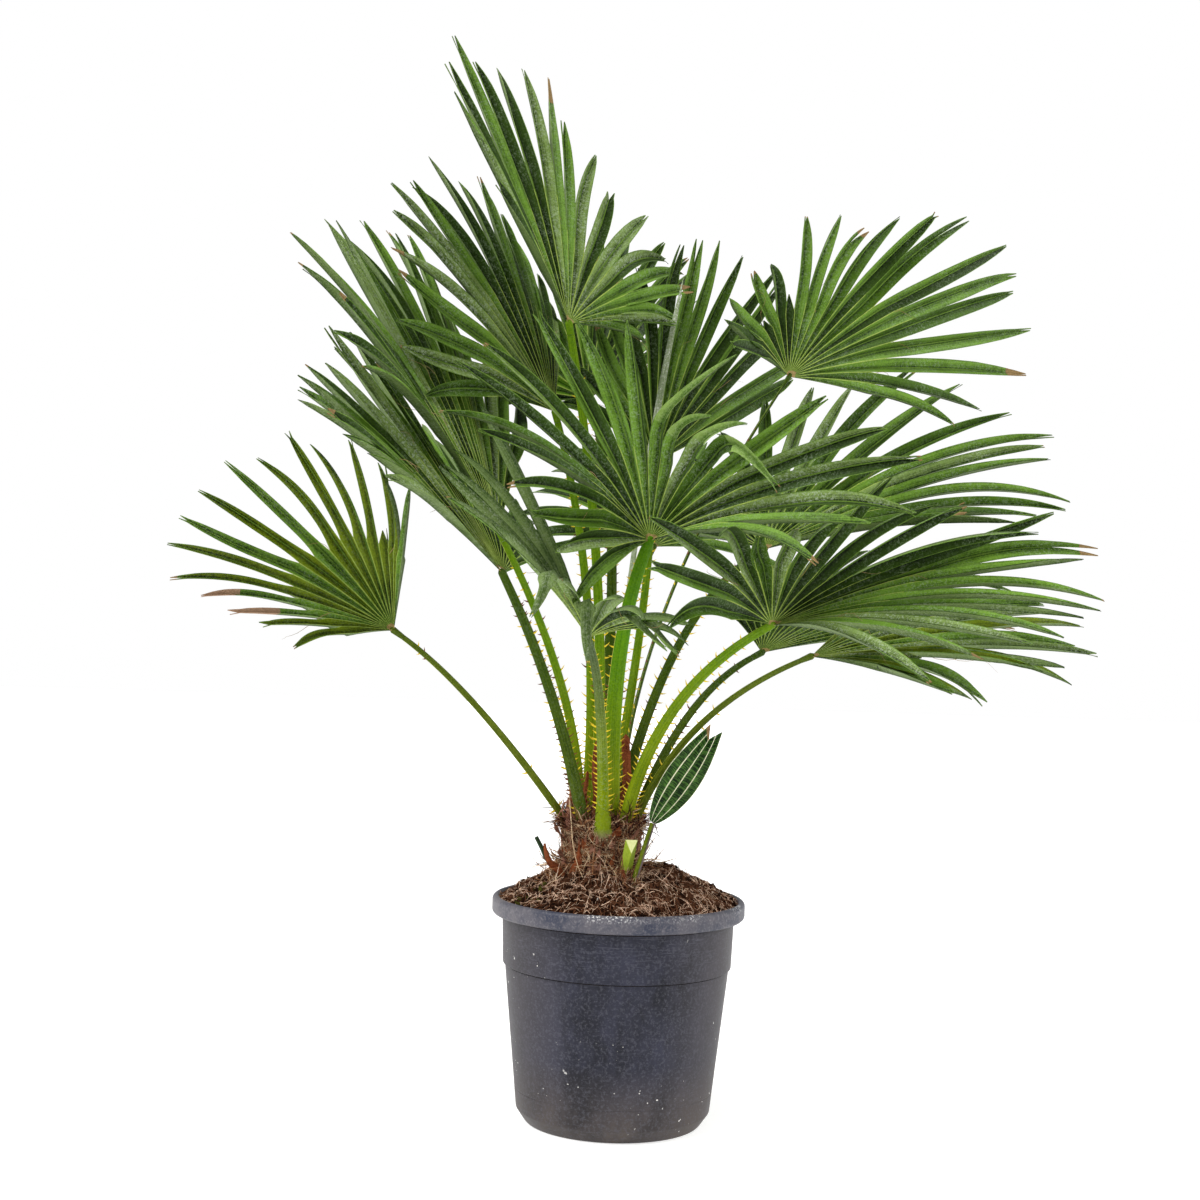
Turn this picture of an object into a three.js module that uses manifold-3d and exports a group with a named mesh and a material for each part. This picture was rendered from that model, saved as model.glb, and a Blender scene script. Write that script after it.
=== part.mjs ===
// Potted European fan palm, in millimetres, +Z up, standing on z = 0 with the pot's axis on the Z axis.
// The side that the picture shows faces -Y.
import * as THREE from 'three';
import Module from 'manifold-3d';

const wasm = await Module();
wasm.setup();
const { Manifold, Mesh } = wasm;

// Room left between pieces that touch on the real plant
const GAP = 0.3;

// Pot: outer radius against height, from the flat underside up to the lip
const POT_HEIGHT = 265;
const POT_WALL = 3;
const POT_SIDES = 32;
const LIP_RADIUS = 150;
const LIP_HEIGHT = 21;
const LIP_ROUND = 3;
const NECK_RADIUS = 137.5;
const BAND_FOOT_RADIUS = 135.5;
const BAND_FOOT_HEIGHT = 187;
const STEP_HEIGHT = 6;
const WALL_TOP_RADIUS = 132.5;
const WALL_FOOT_RADIUS = 115;
const WALL_FOOT_HEIGHT = 16;
const FOOT_RADIUS = 103;
const FOOT_HEIGHT = 3;
const MOUTH_RADIUS = 143;

// Soil that fills the pot and rises to the stem
const SOIL_EDGE_HEIGHT = 260;
const SOIL_SHOULDER_HEIGHT = 280;
const SOIL_HEIGHT = 298;
const SOIL_FLAT_RADIUS = 64;
const SOIL_SHOULDER_RADIUS = 104;

// Stem, a little left of the pot's axis, as [share of its height, radius]
const STEM_X = -23;
const STEM_Y = 0;
const STEM_TOP = 352;
const STEM_SIDES = 20;
const STEM_LEVELS = [[0, 50], [0.3, 45], [0.7, 45], [1, 47]];

// Leaf stalks: the width goes out to the flare and then down to the tip, as shares of the foot's width;
// the thickness is a share of the width
const STALK_SIDES = 6;
const STALK_STEPS = 6;
const STALK_FLARE_SHARE = 1.08;
const STALK_FLARE_AT = 0.1;
const STALK_TIP_SHARE = 0.7;
const STALK_TAPER_POWER = 0.8;
const STALK_THICKNESS_SHARE = 0.55;

// Short neck that carries the blade on from its stalk: it swells at the hub and ends just past it
const NECK_LENGTH = 14;
const NECK_SIDES = 6;
const HUB_WIDTH = 9;
const HUB_THICKNESS = 6.6;
const HUB_OVERRUN = 4.2;

// Fronds: sizes that all leaflets share
const LEAFLET_WIDTH = 19;
const LEAFLET_THICKNESS = 4.2;
const FOLD_SHARE = 0.26;
const SPLIT_SHARE_MAX = 0.45;
const FREE_STATIONS = [0.36, 0.76];
const STATION_WIDTHS = [0.9, 0.56];
const REACH_JITTER = 0.08;
const BEND_JITTER = 0.07;
const SWING_JITTER = 0.05;
const CLEARANCE = 0.6;
const BENDS = [0, 0.12, -0.12, 0.24, -0.24, 0.38, -0.38];
const SHORTENINGS = [1, 0.82, 0.64];
const EVEN_ANGLES = 0.5;
const FAN_SAMPLES = 240;
const FAN_STEP = 0.02;

// Each frond: its seat on the stem's top as [angle, distance] round the stem's axis, the stalk's width there
// and how far its flat side is turned about it, the point that the stalk bends towards, the hub where the
// leaflets meet, and some of the fan's directions as [bearing, rise, reach], clockwise as its upper side is
// seen. A kink is [leaflet, share, bearing, rise]: from that share of its free length the leaflet is folded
// over that way. Torn leaflets are named by number. Angles are in degrees.
const FRONDS = [
  {
    name: 'front_mid', seat: [300, 22], width: 20, knee: [-22, -85, 568], hub: [20, -170, 685],
    leaflets: 21, lift: 0.06,
    rays: [
      [-133, -32, 115], [-137, 16, 200], [-175, 38, 315], [141, 59, 315], [76, 85, 255],
      [-34, 45, 255], [-25, 24, 310], [-25, 7, 305], [-49, -3, 215],
    ],
    kinks: [[11, 0.3, -20, 40], [12, 0.28, -30, 25], [13, 0.32, -25, 30], [14, 0.4, -35, -10]],
  },
  {
    name: 'right_front', seat: [312, 39], width: 14, turn: -60, knee: [32, -77, 513], hub: [160, -140, 595],
    leaflets: 21, lift: 0.05,
    rays: [
      [-125, -4, 235], [-125, 28, 265], [-84, 46, 215], [-15, 32, 270], [9, 17, 400],
      [5, 12, 390], [-10, 6, 362], [-34, -1, 335], [-68, -8, 285],
    ],
  },
  {
    name: 'front_low', seat: [272, 40], width: 13, knee: [-25, -120, 515], hub: [-45, -190, 575],
    leaflets: 15, lift: 0.08,
    rays: [
      [131, 56, 315], [180, 50, 270], [-139, 37, 230], [-105, 26, 165], [-75, 18, 145],
      [-38, 12, 135], [2, 8, 105],
    ],
    kinks: [[6, 0.55, -120, -60], [8, 0.3, -90, -70], [11, 0.35, -40, -30], [13, 0.4, -20, -35]],
  },
  {
    name: 'left_low', seat: [236, 38], width: 14, turn: 55, knee: [-74, -80, 502], hub: [-145, -110, 645],
    leaflets: 16, lift: 0.02,
    rays: [[-114, 22, 260], [-139, 35, 340], [-161, 43, 330], [167, 52, 355], [126, 41, 340]],
  },
  {
    name: 'left_high', seat: [200, 28], width: 12, turn: -75, knee: [-47, -29, 496], hub: [-155, -20, 695],
    leaflets: 20, lift: 0.05,
    rays: [
      [-117, 32, 330], [-142, 47, 415], [-170, 58, 435], [157, 63, 445], [127, 59, 465],
      [110, 48, 435], [84, 30, 330],
    ],
  },
  {
    name: 'far_left', seat: [195, 42], width: 9, turn: -80, knee: [-176, -50, 508], hub: [-270, -70, 575],
    leaflets: 17, lift: 0.03, torn: [13],
    rays: [
      [-115, -8, 180], [-156, 13, 265], [-166, 32, 295], [-145, 58, 270], [-90, 55, 245], [-79, 33, 280],
    ],
  },
  {
    name: 'top', seat: [245, 21], width: 13, turn: -65, knee: [-18, 30, 626], hub: [-80, 0, 945],
    leaflets: 19, lift: 0.03,
    rays: [
      [-109, 25, 235], [-153, 59, 345], [170, 71, 360], [125, 74, 350], [85, 55, 310],
      [57, 37, 255], [31, 14, 180], [7, -7, 85],
    ],
  },
  {
    name: 'right_high', seat: [345, 21], width: 10, knee: [0, 25, 592], hub: [180, -40, 885],
    leaflets: 20, lift: 0.03, torn: [3, 6],
    rays: [
      [-113, 2, 190], [-121, 20, 185], [-117, 56, 160], [28, 63, 240], [34, 42, 365],
      [33, 28, 440], [35, 18, 440], [36, 5, 395], [20, -12, 200],
    ],
  },
  {
    name: 'up_left', seat: [165, 20], width: 12, turn: -45, knee: [-27, 50, 610], hub: [-95, 60, 845],
    leaflets: 18, lift: 0.05,
    rays: [
      [-142, 1, 195], [-140, 34, 300], [-163, 54, 350], [159, 66, 345], [109, 53, 330], [91, 34, 290],
    ],
  },
  {
    name: 'far_right', seat: [342, 40], width: 9, turn: -70, knee: [63, -50, 490], hub: [210, -90, 560],
    leaflets: 16, lift: 0.03, torn: [12],
    rays: [
      [52, 20, 170], [33, 17, 315], [18, 11, 345], [4, 4, 332], [-13, 0, 305], [-24, 1, 270],
      [-52, -6, 250], [-60, -7, 265],
    ],
  },
  {
    name: 'right_mid', seat: [28, 20], width: 12, turn: 65, knee: [46, 42, 601], hub: [165, 50, 685],
    leaflets: 20, lift: 0.05,
    rays: [
      [172, 4, 140], [126, 23, 230], [85, 45, 300], [43, 44, 365], [22, 29, 420], [9, 23, 415],
      [-3, 16, 390], [-19, 8, 345], [-49, 3, 280],
    ],
  },
  {
    name: 'right_low', seat: [14, 40], width: 11, turn: 70, knee: [66, 12, 504], hub: [163, 20, 560],
    leaflets: 16, lift: 0.04,
    rays: [[106, 16, 205], [84, 20, 325], [60, 20, 395], [40, 15, 425], [24, 10, 400], [11, 4, 300]],
  },
  {
    name: 'back_right', seat: [66, 20], width: 12, knee: [30, 110, 620], hub: [30, 120, 790],
    leaflets: 16, lift: 0.04,
    rays: [
      [-135, 21, 180], [-141, 59, 210], [-90, 88, 280], [25, 73, 320], [34, 47, 335], [40, 19, 330],
    ],
  },
  {
    name: 'back_left', seat: [120, 23], width: 14, knee: [4, 115, 700], hub: [-55, 190, 875],
    leaflets: 15, lift: 0.04,
    rays: [
      [176, -12, 145], [151, 48, 215], [114, 65, 290], [63, 60, 310], [54, 40, 340], [62, 18, 345],
    ],
  },
  {
    name: 'rear_mid', seat: [76, 40], width: 13, knee: [-28, 160, 562], hub: [36, 260, 690],
    leaflets: 15, lift: 0.05,
    rays: [[146, -9, 255], [121, 19, 370], [95, 25, 420], [65, 19, 375], [36, -8, 275]],
  },
  {
    name: 'rear_left', seat: [148, 35], width: 11, knee: [-73, 100, 497], hub: [-158, 180, 649],
    leaflets: 15, lift: 0.05,
    rays: [[165, 48, 230], [140, 44, 330], [116, 34, 370], [94, 20, 360], [74, 2, 305]],
  },
  {
    name: 'rear_right', seat: [45, 40], width: 13, knee: [40, 120, 504], hub: [193, 230, 591],
    leaflets: 15, lift: 0.05,
    rays: [[82, -8, 295], [59, 10, 355], [32, 15, 375], [5, 10, 335], [-24, -4, 275]],
  },
];

// Small limbs: the spear, the young leaf's stalk and the stubs
const LIMB_SIDES = 6;
const LIMB_STEPS = 5;
const LIMB_THICKNESS_SHARE = 0.65;

// Unopened spear leaf from the middle of the crown
const SPEAR_KNEE = [0, 45, 700];
const SPEAR_TIP = [56, 40, 1010];
const SPEAR_WIDTH = 12;
const SPEAR_TIP_WIDTH = 3;

// Young folded leaf and its stalk, which come up beside the stem
const YOUNG_FOOT = [15, -68];
const YOUNG_HUB = [35, -64, 361];
const YOUNG_TIP = [105, -88, 475];
const YOUNG_PLEATS = 4;
const YOUNG_STEPS = 6;
const YOUNG_WIDTH = 42;
const YOUNG_PLEAT_DEPTH = 3;
const YOUNG_THICKNESS = 2.2;
const YOUNG_NOTCH = 16;
const YOUNG_BULGE = 6;
const YOUNG_START = 1;
const YOUNG_OUTLINE_POWER = 0.8;
const YOUNG_OUTLINE_END = 0.92;
const YOUNG_STALK_WIDTH = 8;
const YOUNG_STALK_END_WIDTH = 6.5;

// Short stubs beside the stem: a green cut stalk and a dark broken one with its dry sheath
const CUT_FOOT = [5, -56];
const CUT_TOP = [12, -68, 341];
const CUT_WIDTH = 14;
const BROKEN_FOOT = [-82, -32];
const BROKEN_TOP = [-99, -42, 338];
const BROKEN_WIDTH = 8;
const BROKEN_END_WIDTH = 7;

// Colours
const COLOURS = {
  pot: '#3b4150',
  soil: '#4c3728',
  stem: '#5b4330',
  stalk: '#6f9a2f',
  darkStalk: '#3f5f22',
  frond: '#3c6b2c',
  young: '#1f5a2c',
  cut: '#a9bb4a',
  spear: '#8f9a72',
};

const group = new THREE.Group();
group.name = 'potted_fan_palm';

function addPiece(name, geometry, colour, roughness) {
  const material = new THREE.MeshStandardMaterial({ color: colour, roughness, metalness: 0 });
  const mesh = new THREE.Mesh(geometry, material);
  mesh.name = name;
  group.add(mesh);
}

// Small helpers

function vector(list) {
  return new THREE.Vector3(list[0], list[1], list[2]);
}

function along(origin, ...terms) {
  const point = origin.clone();
  for (const [axis, amount] of terms) {
    point.addScaledVector(axis, amount);
  }
  return point;
}

// A repeatable number from 0 to 1 for a pair of counts
function scatter(a, b) {
  const value = Math.sin(a * 12.9898 + b * 78.233) * 43758.5453;
  return value - Math.floor(value);
}

function direction(bearing, rise) {
  const b = THREE.MathUtils.degToRad(bearing);
  const e = THREE.MathUtils.degToRad(rise);
  return new THREE.Vector3(Math.cos(e) * Math.cos(b), Math.cos(e) * Math.sin(b), Math.sin(e));
}

function geometryOf(points, faces) {
  const geometry = new THREE.BufferGeometry();
  const numbers = points.flatMap((p) => [p.x, p.y, p.z]);
  geometry.setAttribute('position', new THREE.Float32BufferAttribute(numbers, 3));
  geometry.setIndex(faces.flat());
  geometry.computeVertexNormals();
  return geometry;
}

function lathe(profile, sides, x, y) {
  const geometry = new THREE.LatheGeometry(profile.map(([r, z]) => new THREE.Vector2(r, z)), sides);
  geometry.rotateX(Math.PI / 2);
  geometry.translate(x, y, 0);
  return geometry;
}

// Pot and soil

function potOuterProfile() {
  const lipFoot = POT_HEIGHT - LIP_HEIGHT;
  return [
    [FOOT_RADIUS, 0],
    [FOOT_RADIUS + FOOT_HEIGHT, FOOT_HEIGHT],
    [WALL_FOOT_RADIUS, WALL_FOOT_HEIGHT],
    [WALL_TOP_RADIUS, BAND_FOOT_HEIGHT - STEP_HEIGHT],
    [BAND_FOOT_RADIUS, BAND_FOOT_HEIGHT],
    [NECK_RADIUS, lipFoot],
    [LIP_RADIUS - LIP_ROUND, lipFoot],
    [LIP_RADIUS, lipFoot + LIP_ROUND],
    [LIP_RADIUS, POT_HEIGHT - LIP_ROUND],
    [LIP_RADIUS - LIP_ROUND, POT_HEIGHT],
  ];
}

// Radius of the pot's inside at a height
function potInside(z) {
  const lipFoot = POT_HEIGHT - LIP_HEIGHT;
  const levels = [
    [WALL_FOOT_HEIGHT, WALL_FOOT_RADIUS],
    [BAND_FOOT_HEIGHT - STEP_HEIGHT, WALL_TOP_RADIUS],
    [BAND_FOOT_HEIGHT, BAND_FOOT_RADIUS],
    [lipFoot, NECK_RADIUS],
    [POT_HEIGHT, MOUTH_RADIUS + POT_WALL],
  ];
  for (let i = 1; i < levels.length; i += 1) {
    const [z0, r0] = levels[i - 1];
    const [z1, r1] = levels[i];
    if (z <= z1) {
      return r0 + (r1 - r0) * (z - z0) / (z1 - z0) - POT_WALL;
    }
  }
  return MOUTH_RADIUS;
}

function insideLevels() {
  return [WALL_FOOT_HEIGHT, BAND_FOOT_HEIGHT - STEP_HEIGHT, BAND_FOOT_HEIGHT, POT_HEIGHT - LIP_HEIGHT];
}

function pot() {
  const inner = insideLevels().reverse().map((z) => [potInside(z), z]);
  const profile = [
    [0, 0],
    ...potOuterProfile(),
    [MOUTH_RADIUS, POT_HEIGHT],
    ...inner,
    [FOOT_RADIUS - POT_WALL, POT_WALL],
    [0, POT_WALL],
  ];
  return lathe(profile, POT_SIDES, 0, 0);
}

function soil() {
  const wall = insideLevels().map((z) => [potInside(z) - GAP, z]);
  const profile = [
    [0, POT_WALL + GAP],
    [FOOT_RADIUS - POT_WALL - 2 * GAP, POT_WALL + GAP],
    ...wall,
    [potInside(SOIL_EDGE_HEIGHT) - GAP, SOIL_EDGE_HEIGHT],
    [SOIL_SHOULDER_RADIUS, SOIL_SHOULDER_HEIGHT],
    [SOIL_FLAT_RADIUS, SOIL_HEIGHT],
    [0, SOIL_HEIGHT],
  ];
  return lathe(profile, POT_SIDES, 0, 0);
}

function stem() {
  const foot = SOIL_HEIGHT + GAP;
  const height = STEM_TOP - foot;
  const wall = STEM_LEVELS.map(([share, radius]) => [radius, foot + height * share]);
  return lathe([[0, foot], ...wall, [0, STEM_TOP]], STEM_SIDES, STEM_X, STEM_Y);
}

// Limbs: a closed tube along a curve, with an oval section that tapers

function bezier(a, b, c, t) {
  return along(a.clone().multiplyScalar((1 - t) ** 2), [b, 2 * t * (1 - t)], [c, t * t]);
}

function bezierSlope(a, b, c, t) {
  return along(new THREE.Vector3(), [b.clone().sub(a), 2 * (1 - t)], [c.clone().sub(b), 2 * t]);
}

// curve is [from, towards, to]; width(t) and thickness(t) give the section; wide is the section's long way;
// levelFoot cuts the first end level
function limbShell({ curve, wide, width, thickness, steps, sides, levelFoot }) {
  const points = [];
  const faces = [];
  for (let i = 0; i <= steps; i += 1) {
    const t = i / steps;
    const centre = bezier(...curve, t);
    const tangent = bezierSlope(...curve, t).normalize();
    const across = along(wide, [tangent, -wide.dot(tangent)]).normalize();
    const through = tangent.clone().cross(across);
    for (let k = 0; k < sides; k += 1) {
      const angle = (k / sides) * 2 * Math.PI;
      const sideways = Math.cos(angle) * width(t) / 2;
      const outward = Math.sin(angle) * thickness(t) / 2;
      const point = along(centre, [across, sideways], [through, outward]);
      if (i === 0 && levelFoot) {
        point.addScaledVector(tangent, (centre.z - point.z) / tangent.z);
      }
      points.push(point);
    }
  }
  for (let i = 0; i < steps; i += 1) {
    for (let k = 0; k < sides; k += 1) {
      const next = (k + 1) % sides;
      const a = i * sides + k;
      const b = i * sides + next;
      faces.push([a, b, b + sides], [a, b + sides, a + sides]);
    }
  }
  for (let k = 1; k < sides - 1; k += 1) {
    const last = steps * sides;
    faces.push([0, k + 1, k], [last, last + k, last + k + 1]);
  }
  return { points, faces };
}

function taper(from, to) {
  return (t) => from + (to - from) * t;
}

// Level direction at right angles to the way from one point to another
function levelAcross(from, to) {
  return new THREE.Vector3(from.y - to.y, to.x - from.x, 0).normalize();
}

// Leaf stalks

function seatOf(frond) {
  const angle = THREE.MathUtils.degToRad(frond.seat[0]);
  return new THREE.Vector3(
    STEM_X + frond.seat[1] * Math.cos(angle),
    STEM_Y + frond.seat[1] * Math.sin(angle),
    STEM_TOP + GAP,
  );
}

function stalkWidth(frond, t) {
  const flare = frond.width * (1 + (STALK_FLARE_SHARE - 1) * Math.min(t / STALK_FLARE_AT, 1));
  const rest = Math.max(0, (t - STALK_FLARE_AT) / (1 - STALK_FLARE_AT));
  return flare + (frond.width * STALK_TIP_SHARE - flare) * rest ** STALK_TAPER_POWER;
}

// The stalk's curve runs on to the hub; the stalk itself ends a neck's length before it
function stalkCurve(frond) {
  return [seatOf(frond), vector(frond.knee), vector(frond.hub)];
}

function stalkEnd(frond) {
  const curve = stalkCurve(frond);
  const slope = bezierSlope(...curve, 1).normalize();
  return along(curve[2], [slope, -NECK_LENGTH]);
}

// Long way of the stalk's section: level, or turned from there about the stalk
function stalkWide(frond) {
  const foot = seatOf(frond);
  const end = stalkEnd(frond);
  const axis = end.clone().sub(foot).normalize();
  return levelAcross(foot, end).applyAxisAngle(axis, THREE.MathUtils.degToRad(frond.turn ?? 0));
}

function stalkShell(frond, grow) {
  const [foot, knee] = stalkCurve(frond);
  return limbShell({
    curve: [foot, knee, stalkEnd(frond)],
    wide: stalkWide(frond),
    width: (t) => stalkWidth(frond, t) + 2 * grow,
    thickness: (t) => stalkWidth(frond, t) * STALK_THICKNESS_SHARE + 2 * grow,
    steps: STALK_STEPS,
    sides: STALK_SIDES,
    levelFoot: true,
  });
}

// Fans: directions spread along a smooth curve through the rays

function catmull(before, from, to, after, t) {
  const linear = (to - before) * t;
  const square = (2 * before - 5 * from + 4 * to - after) * t * t;
  const cube = (3 * from - before - 3 * to + after) * t * t * t;
  return 0.5 * (2 * from + linear + square + cube);
}

function throughPoints(values, place) {
  const last = values.length - 1;
  const k = Math.min(Math.floor(place), last - 1);
  const from = values[k];
  const to = values[k + 1];
  const before = k > 0 ? values[k - 1] : from.map((value, i) => 2 * value - to[i]);
  const after = k + 2 <= last ? values[k + 2] : to.map((value, i) => 2 * value - from[i]);
  return from.map((value, i) => catmull(before[i], value, to[i], after[i], place - k));
}

function prepareFan(frond) {
  const rays = frond.rays.map(([bearing, rise, reach]) => [...direction(bearing, rise).toArray(), reach]);
  const samples = [];
  let turned = 0;
  for (let i = 0; i <= FAN_SAMPLES; i += 1) {
    const [x, y, z, reach] = throughPoints(rays, (i / FAN_SAMPLES) * (rays.length - 1));
    const aim = new THREE.Vector3(x, y, z).normalize();
    if (i > 0) {
      turned += aim.distanceTo(samples[i - 1].aim);
    }
    samples.push({ aim, reach, turned });
  }
  samples.forEach((sample, i) => {
    sample.share = EVEN_ANGLES * sample.turned / turned + (1 - EVEN_ANGLES) * i / FAN_SAMPLES;
  });
  return { samples, turned };
}

function aimAt(fan, share) {
  const wanted = Math.min(Math.max(share, 0), 1);
  let i = 1;
  while (i < FAN_SAMPLES && fan.samples[i].share < wanted) {
    i += 1;
  }
  const a = fan.samples[i - 1];
  const b = fan.samples[i];
  const t = (wanted - a.share) / (b.share - a.share);
  return { aim: a.aim.clone().lerp(b.aim, t).normalize(), reach: a.reach + (b.reach - a.reach) * t };
}

// Local axes of the fan: aim outward, side towards the next leaflet, up out of the upper face
function fanFrame(frond, share) {
  const { aim, reach } = aimAt(frond.fan, share);
  const from = Math.max(share - FAN_STEP, 0);
  const to = Math.min(share + FAN_STEP, 1);
  const side = aimAt(frond.fan, to).aim.sub(aimAt(frond.fan, from).aim);
  const pitch = side.length() / ((to - from) * frond.leaflets);
  side.addScaledVector(aim, -side.dot(aim)).normalize();
  const up = side.clone().cross(aim);
  const rise = along(new THREE.Vector3(0, 0, 1), [aim, -aim.z]);
  const split = Math.min(LEAFLET_WIDTH / pitch, SPLIT_SHARE_MAX * reach);
  return { aim, side, up, rise, reach, split };
}

// Point of the fan's middle surface at a distance from the hub
function fanPoint(frond, frame, distance) {
  const t = distance / frame.reach;
  const bow = frond.lift * frame.reach * 4 * t * (1 - t);
  return along(frond.hubPoint, [frame.aim, distance], [frame.rise, bow]);
}

// Leaflets: the hub, one section at the split, free sections and a tip; a torn one ends at the split

function seam(frond, k, grow) {
  const frame = fanFrame(frond, k / frond.leaflets);
  const raise = FOLD_SHARE * LEAFLET_WIDTH / 2;
  const centre = along(fanPoint(frond, frame, frame.split), [frame.up, raise]);
  const half = LEAFLET_THICKNESS / 2 + grow;
  const upper = along(centre, [frame.up, half]);
  const lower = along(centre, [frame.up, -half]);
  return { upper, lower, side: frame.side };
}

// Middle line of a leaflet's free part at a share of its length, with its axes there
function leafletLine(frond, frame, pose, share) {
  const free = frame.reach * pose.reach - frame.split;
  const straight = pose.kink ? Math.min(share, pose.kink.share) : share;
  const sway = free * straight * straight;
  const centre = fanPoint(frond, frame, frame.split + free * straight);
  centre.addScaledVector(frame.up, pose.bend * sway);
  centre.addScaledVector(frame.side, pose.swing * sway);
  if (straight === share) {
    return { centre, aim: frame.aim, side: frame.side, up: frame.up };
  }
  const aim = pose.kink.aim;
  const side = along(frame.side, [aim, -frame.side.dot(aim)]).normalize();
  centre.addScaledVector(aim, free * (share - straight));
  return { centre, aim, side, up: side.clone().cross(aim) };
}

function leafletSections(frond, k, pose, grow) {
  const frame = fanFrame(frond, (k + 0.5) / frond.leaflets);
  const half = LEAFLET_THICKNESS / 2 + grow;
  const drop = FOLD_SHARE * LEAFLET_WIDTH / 2;
  const rib = along(fanPoint(frond, frame, frame.split), [frame.up, -drop]);
  const sections = [{ ribUpper: along(rib, [frame.up, half]), ribLower: along(rib, [frame.up, -half]) }];
  if (pose.torn) {
    return { sections, tip: null };
  }
  const stations = pose.kink ? [pose.kink.share, (1 + pose.kink.share) / 2] : FREE_STATIONS;
  stations.forEach((share, i) => {
    const { centre, side, up } = leafletLine(frond, frame, pose, share);
    const width = LEAFLET_WIDTH * STATION_WIDTHS[i];
    const fold = FOLD_SHARE * width / 2;
    const left = along(centre, [side, -width / 2 - grow], [up, fold]);
    const right = along(centre, [side, width / 2 + grow], [up, fold]);
    const middle = along(centre, [up, -fold]);
    sections.push({
      leftUpper: along(left, [up, half]),
      leftLower: along(left, [up, -half]),
      rightUpper: along(right, [up, half]),
      rightLower: along(right, [up, -half]),
      ribUpper: along(middle, [up, half]),
      ribLower: along(middle, [up, -half]),
    });
  });
  const end = leafletLine(frond, frame, pose, 1);
  return { sections, tip: along(end.centre, [end.aim, grow]) };
}

// A growing list of points and faces
class Shell {
  constructor() {
    this.points = [];
    this.faces = [];
  }

  point(p) {
    this.points.push(p);
    return this.points.length - 1;
  }

  quad(a, b, c, d) {
    this.faces.push([a, b, c], [a, c, d]);
  }
}

function sectionPoints(shell, section, left, right) {
  const add = (p) => shell.point(p);
  return {
    lu: left ? left.upper : add(section.leftUpper),
    ll: left ? left.lower : add(section.leftLower),
    ru: right ? right.upper : add(section.rightUpper),
    rl: right ? right.lower : add(section.rightLower),
    mu: add(section.ribUpper),
    ml: add(section.ribLower),
  };
}

// Adds one leaflet between two seams whose points are already in the shell
function addLeaflet(shell, hub, left, right, parts) {
  let near = sectionPoints(shell, parts.sections[0], left, right);
  shell.faces.push([hub.upper, near.ru, near.mu], [hub.upper, near.mu, near.lu]);
  shell.faces.push([hub.lower, near.ml, near.rl], [hub.lower, near.ll, near.ml]);
  if (!parts.tip) {
    shell.quad(near.lu, near.mu, near.ml, near.ll);
    shell.quad(near.mu, near.ru, near.rl, near.ml);
    return;
  }
  for (const section of parts.sections.slice(1)) {
    const far = sectionPoints(shell, section);
    shell.quad(near.lu, near.mu, far.mu, far.lu);
    shell.quad(near.mu, near.ru, far.ru, far.mu);
    shell.quad(near.ml, near.ll, far.ll, far.ml);
    shell.quad(near.rl, near.ml, far.ml, far.rl);
    shell.quad(near.lu, far.lu, far.ll, near.ll);
    shell.quad(far.ru, near.ru, near.rl, far.rl);
    near = far;
  }
  const tip = shell.point(parts.tip);
  shell.faces.push([near.lu, near.mu, tip], [near.mu, near.ru, tip]);
  shell.faces.push([near.ml, near.ll, tip], [near.rl, near.ml, tip]);
  shell.faces.push([near.lu, tip, near.ll], [near.ru, near.rl, tip]);
}

// Mean of the fan's upward directions
function hubUp(frond) {
  const up = new THREE.Vector3();
  for (let k = 0; k <= frond.leaflets; k += 1) {
    up.add(fanFrame(frond, k / frond.leaflets).up);
  }
  return up.normalize();
}

function hubPoints(frond, grow) {
  const up = frond.hubUp;
  const half = LEAFLET_THICKNESS / 2 + grow;
  return { upper: along(frond.hubPoint, [up, half]), lower: along(frond.hubPoint, [up, -half]) };
}

function addPair(shell, pair) {
  return { upper: shell.point(pair.upper), lower: shell.point(pair.lower) };
}

// One leaflet as a closed shell of its own, a little larger all round, to test for room
function leafletShell(frond, k, pose, grow) {
  const shell = new Shell();
  const hub = addPair(shell, hubPoints(frond, grow));
  const left = seam(frond, k, grow);
  const right = seam(frond, k + 1, grow);
  for (const [pair, sign] of [[left, -1], [right, 1]]) {
    pair.upper.addScaledVector(pair.side, sign * grow);
    pair.lower.addScaledVector(pair.side, sign * grow);
  }
  const leftPair = addPair(shell, left);
  const rightPair = addPair(shell, right);
  addLeaflet(shell, hub, leftPair, rightPair, leafletSections(frond, k, pose, grow));
  shell.faces.push([hub.upper, leftPair.upper, leftPair.lower], [hub.upper, leftPair.lower, hub.lower]);
  shell.faces.push([hub.upper, rightPair.lower, rightPair.upper], [hub.upper, hub.lower, rightPair.lower]);
  return shell;
}

function frondShell(frond) {
  const shell = new Shell();
  const hub = addPair(shell, hubPoints(frond, 0));
  const seams = [];
  for (let k = 0; k <= frond.leaflets; k += 1) {
    seams.push(addPair(shell, seam(frond, k, 0)));
  }
  for (let k = 0; k < frond.leaflets; k += 1) {
    addLeaflet(shell, hub, seams[k], seams[k + 1], leafletSections(frond, k, frond.poses[k], 0));
  }
  const first = seams[0];
  const last = seams[frond.leaflets];
  shell.faces.push([hub.upper, first.upper, first.lower], [hub.upper, first.lower, hub.lower]);
  shell.faces.push([hub.upper, last.lower, last.upper], [hub.upper, hub.lower, last.lower]);
  return shell;
}

// Room between solids: two shells meet where an edge of one goes through a face of the other

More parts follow.
